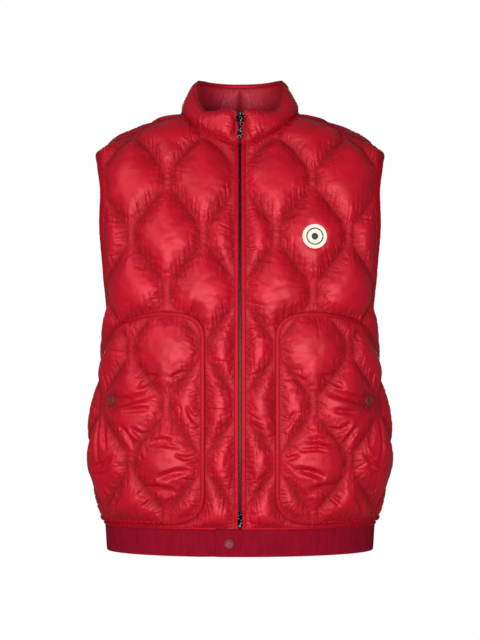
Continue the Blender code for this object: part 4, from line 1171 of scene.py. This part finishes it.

# ---- Slider, pull and box ----
# Die-cast zinc, plated dark, with sharp bright specks painted into its colour as painted glints: the slider
# and its pull hang at the collar, and the retainer box holds the teeth together above the waistband.
PLATED = {"Metallic": 1.0, "Roughness": 0.24}
WORN_EDGE = 0.28
# The sharply contrasted light grains are painted glints, standing in for highlights on the plating.
plated = mottled_metal("plated_zinc_dark", PLATED, 420.0, 3.0, "#0E0E10", "#A8A8AC", (7.0, -3.9))
for name in ("zip_slider", "zip_pull", "zip_box"):
    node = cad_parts[name]
    node.data.materials.clear()
    node.data.materials.append(plated)
    worn_edge = node.modifiers.new("worn_edge", "BEVEL")
    worn_edge.width, worn_edge.segments, worn_edge.limit_method = WORN_EDGE * MM, 3, "ANGLE"

# ---- Waistband ----
# One length of elastic rib knit, doubled and sewn to the hem all round. The end on the wearer's left laps
# over the other as a tab, which a snap holds down.
BAND_V = (-622.6, -664.0)  # its top and its bottom
BAND_WALL = 3.0
BAND_LAP = (-36.0, 22.0)  # where its two ends stand, round from the middle of the front
BAND_DIP = 20.0  # the under end steps inside the tab over this length
band_rib, tree, shader = new_material("rib_knit_elastic", {"Roughness": 0.9, "Specular IOR Level": 0.1})
cut = add_node(tree, "ShaderNodeUVMap", uv_map="cut").outputs["UV"]
# Ribs are 1.2 mm apart; drawn at 2.4 mm, or they wouldn't show.
ribs = add_node(tree, "ShaderNodeTexWave", {"Vector": cut, "Scale": 140.0, "Distortion": 0.6, "Detail": 1.0})
loops = add_node(tree, "ShaderNodeTexNoise", {"Vector": cut, "Scale": 500.0, "Detail": 2.0})
height = add_node(tree, "ShaderNodeMath", {0: ribs.outputs["Fac"], 1: loops.outputs["Fac"]}, operation="ADD")
bump = add_node(tree, "ShaderNodeBump", {"Height": height.outputs[0], "Distance": 0.00010, "Strength": 1.0})
tree.links.new(bump.outputs["Normal"], shader.inputs["Normal"])
uneven = add_node(tree, "ShaderNodeTexNoise", {"Vector": cut, "Scale": 120.0, "Detail": 4.0}).outputs["Fac"]
colours = {0: uneven, 6: linear("#6C0016"), 7: linear("#9A0C28")}
mottled_colour = add_node(tree, "ShaderNodeMix", colours, data_type="RGBA")
tree.links.new(mottled_colour.outputs[2], shader.inputs["Base Color"])


def band_rings(spacing=3.0, corners=16):
    """The band's one length, whose under end steps inside the end that laps over it."""
    half = half_girth(HEM_V)
    start, end = BAND_LAP[0], 2 * half + BAND_LAP[1]
    run = np.linspace(start, end, round((end - start) / spacing) + 1)
    share = np.clip((run - (2 * half + BAND_LAP[0] - BAND_DIP - 4)) / BAND_DIP, 0, 1)
    deep = -(BAND_WALL + LAY_GAP) * share * share * (3 - 2 * share)
    turned = run / half
    shares = np.where(turned <= 1, turned, turned - 2)
    columns = []
    for across, up in flat_section(corners, 0.25):
        v = (BAND_V[0] + BAND_V[1]) / 2 + across * (BAND_V[0] - BAND_V[1]) / 2
        spots, outward = on_front(shares * half_girth(v), np.full(len(run), v))
        columns.append(spots + outward * (BAND_WALL / 2 * (1 + up) + deep)[:, None])
    return np.stack(columns, axis=1)


band = rolled("rib_waistband", band_rings(), band_rib)
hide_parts("waistband")
band_size = ((BAND_V[0] - BAND_V[1]) * MM, (2 * half_girth(HEM_V) + BAND_LAP[1] - BAND_LAP[0]) * MM)
# A bright fold of taffeta covers the seam over the band, all round but for the snap tab.
FOLD_V = (-619.5, -623.5)
half = half_girth(HEM_V)
runs = np.linspace(5.0, 2 * half + BAND_LAP[0], 420)
shares = np.where(runs <= half, runs, runs - 2 * half) / half
edges = ([(share * half_girth(v), v) for share in shares] for v in FOLD_V)
wave = np.random.default_rng(51).uniform(-0.3, 0.3, len(runs))
rings = tape_rings(on_front, *edges, 1.2, BAND_WALL + 1.4, wave=wave)
rolled("hem_fold", rings, tape_taffeta)

# ---- Snaps ----
# Cap snaps of pressed brass, lacquered to match the cloth and worn: a dished cap with a rolled rim, pressed
# through the tab of the waistband and through each pocket.
LACQUER = {"Metallic": 0.2, "Roughness": 0.55, "Specular IOR Level": 0.35}
lacquered = mottled_metal("lacquered_brass", LACQUER, 300.0, 3.0, "#5E0A12", "#8E3430")


def frame_at(form, u, v, height=0.0):
    """A matrix with x across, y up the cloth and z outward, standing at a point of a form."""
    spots, outward = form(np.array([u, u, u]), np.array([v, v - 2, v + 2]))
    up = Vector(spots[2] - spots[1]).normalized()
    out = Vector(outward[0])
    across = up.cross(out).normalized()
    up = out.cross(across)
    axes = Matrix((across, up, out)).transposed().to_4x4()
    return Matrix.Translation(Vector(spots[0]) + out * height) @ axes


def turned_piece(name, profile, place, material, ripple=0.0, around=96):
    """A round piece: a profile of (radius, height) turned about the axis of a matrix."""
    radii, heights = np.array(profile).T
    angles = np.linspace(0, 2 * math.pi, around, endpoint=False)[:, None]
    radii = radii * (1 + ripple * np.cos(angles * around / 4) * (radii > 0.9 * radii.max()))
    local = np.stack([radii * np.cos(angles), radii * np.sin(angles), heights + 0 * angles], axis=-1)
    axes = np.array(place)
    return rolled(name, local @ axes[:3, :3].T + axes[:3, 3], material, closed=True)


CAP_RIM = ((0, 0), (7.9, 0), (8.0, 0.8), (7.7, 1.8), (7.0, 2.5), (6.1, 2.6))
CAP_DISH = ((5.5, 2.1), (4.6, 1.7), (2.6, 1.9), (0, 2.0))
CAP = (*CAP_RIM, *CAP_DISH)
POCKET_TOP = 2 * (SEAM_WALL + LAY_GAP)
SNAPS = {
    "waistband_snap": (-16.0, -644.0, BAND_WALL + LAY_GAP),
    "pocket_snap_left": (POCKET_SNAP["u"], POCKET_SNAP["v"], POCKET_TOP),
    "pocket_snap_right": (-POCKET_SNAP["u"], POCKET_SNAP["v"], POCKET_TOP),
}
for name, (u, v, height) in SNAPS.items():
    cap = turned_piece(f"{name}_cap", CAP, frame_at(on_front, u, v, height), lacquered, around=48)
    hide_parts(name)

# ---- Chest patch ----
# A small round badge, woven with a plain dark ring and dot on cream and with nothing written on it. It is
# whip-stitched to the front round its edge.
BADGE_EDGE = ((0, 0), (18.2, 0), (18.5, 0.8), (18.1, 1.5), (17.3, 1.8), (16.5, 1.6), (16.1, 1.2))
BADGE_RING = ((13.1, 1.2), (12.9, 1.4), (11.3, 1.4), (11.1, 1.2))
BADGE_DOT = ((5.2, 1.2), (5.0, 1.4), (0, 1.4))
BADGE = (*BADGE_EDGE, *BADGE_RING, *BADGE_DOT)
threads = {"cream": ("#F2E2D2", 0.75), "dark": ("#2E3A34", 0.7)}
cream, dark = (
    new_material(f"badge_{name}_thread", {"Roughness": rough, "Base Color": linear(colour)})[0]
    for name, (colour, rough) in threads.items()
)
seat = frame_at(on_front, PATCH["u"], PATCH["v"], PATCH["lift"] + LAY_GAP)
badge = turned_piece("woven_badge", BADGE, seat, cream, ripple=0.008, around=192)
badge.data.materials.append(dark)
middle = seat.translation * MM
for face in badge.data.polygons:
    radius = (face.center - middle).length / MM
    face.material_index = 1 if 11.2 < radius < 13.0 or radius < 5.1 else 0
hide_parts("chest_patch")

# ---- Floor, light and camera ----
# A white studio over a pale floor that glows a little, like lit paper. A soft light stands low in front, a
# key stands high on one side, and a third light fills the vest from behind.
floor_mesh = bpy.data.meshes.new("floor")
bm = bmesh.new()
bmesh.ops.create_grid(bm, x_segments=1, y_segments=1, size=2.5, matrix=Matrix.Translation((0, 0, -1.6)))
bm.to_mesh(floor_mesh)
bm.free()
PAPER = {"Base Color": linear("#F7F7F7"), "Roughness": 0.9}
GLOW = {"Emission Color": (1, 1, 1, 1), "Emission Strength": 0.7}
floor_mesh.materials.append(new_material("matt_paper", {**PAPER, **GLOW})[0])
floor = in_scene("floor", floor_mesh)
floor.visible_glossy = floor.visible_diffuse = False

# The studio's walls show white, but light the vest only a little.
world = bpy.data.worlds.new("studio")
world.use_nodes = True
seen = add_node(world.node_tree, "ShaderNodeLightPath").outputs["Is Camera Ray"]
level = add_node(world.node_tree, "ShaderNodeMapRange", {"Value": seen, "To Min": 0.2, "To Max": 1.0})
walls = world.node_tree.nodes["Background"].inputs
walls["Color"].default_value = (1, 1, 1, 1)
world.node_tree.links.new(level.outputs[0], walls["Strength"])
bpy.context.scene.world = world


def soft_light(name, place, target, size, power):
    lamp = bpy.data.lights.new(name, "AREA")
    lamp.energy, lamp.shape, (lamp.size, lamp.size_y) = power, "RECTANGLE", size
    light = in_scene(name, lamp)
    light.location = place
    light.rotation_euler = (Vector(target) - Vector(place)).to_track_quat("-Z", "Y").to_euler()
    light.visible_camera = False


soft_light("front", (0, -2.4, -0.5), (0, 0, -0.32), (1.7, 0.8), 53)
soft_light("key", (-1.6, -1.8, 0.9), (0, 0, -0.3), (1.2, 1.2), 20)
soft_light("back", (0, 2.6, 0.1), (0, 0, -0.32), (1.7, 1.0), 52)

camera = bpy.data.cameras.new("camera")
camera.lens, camera.sensor_width = 109, 36
view = in_scene("camera", camera)
view.location, view.rotation_euler = (0, -3.0, -0.31), (math.pi / 2, 0, 0)
bpy.context.scene.camera = view
bpy.context.scene.view_settings.view_transform = "Standard"
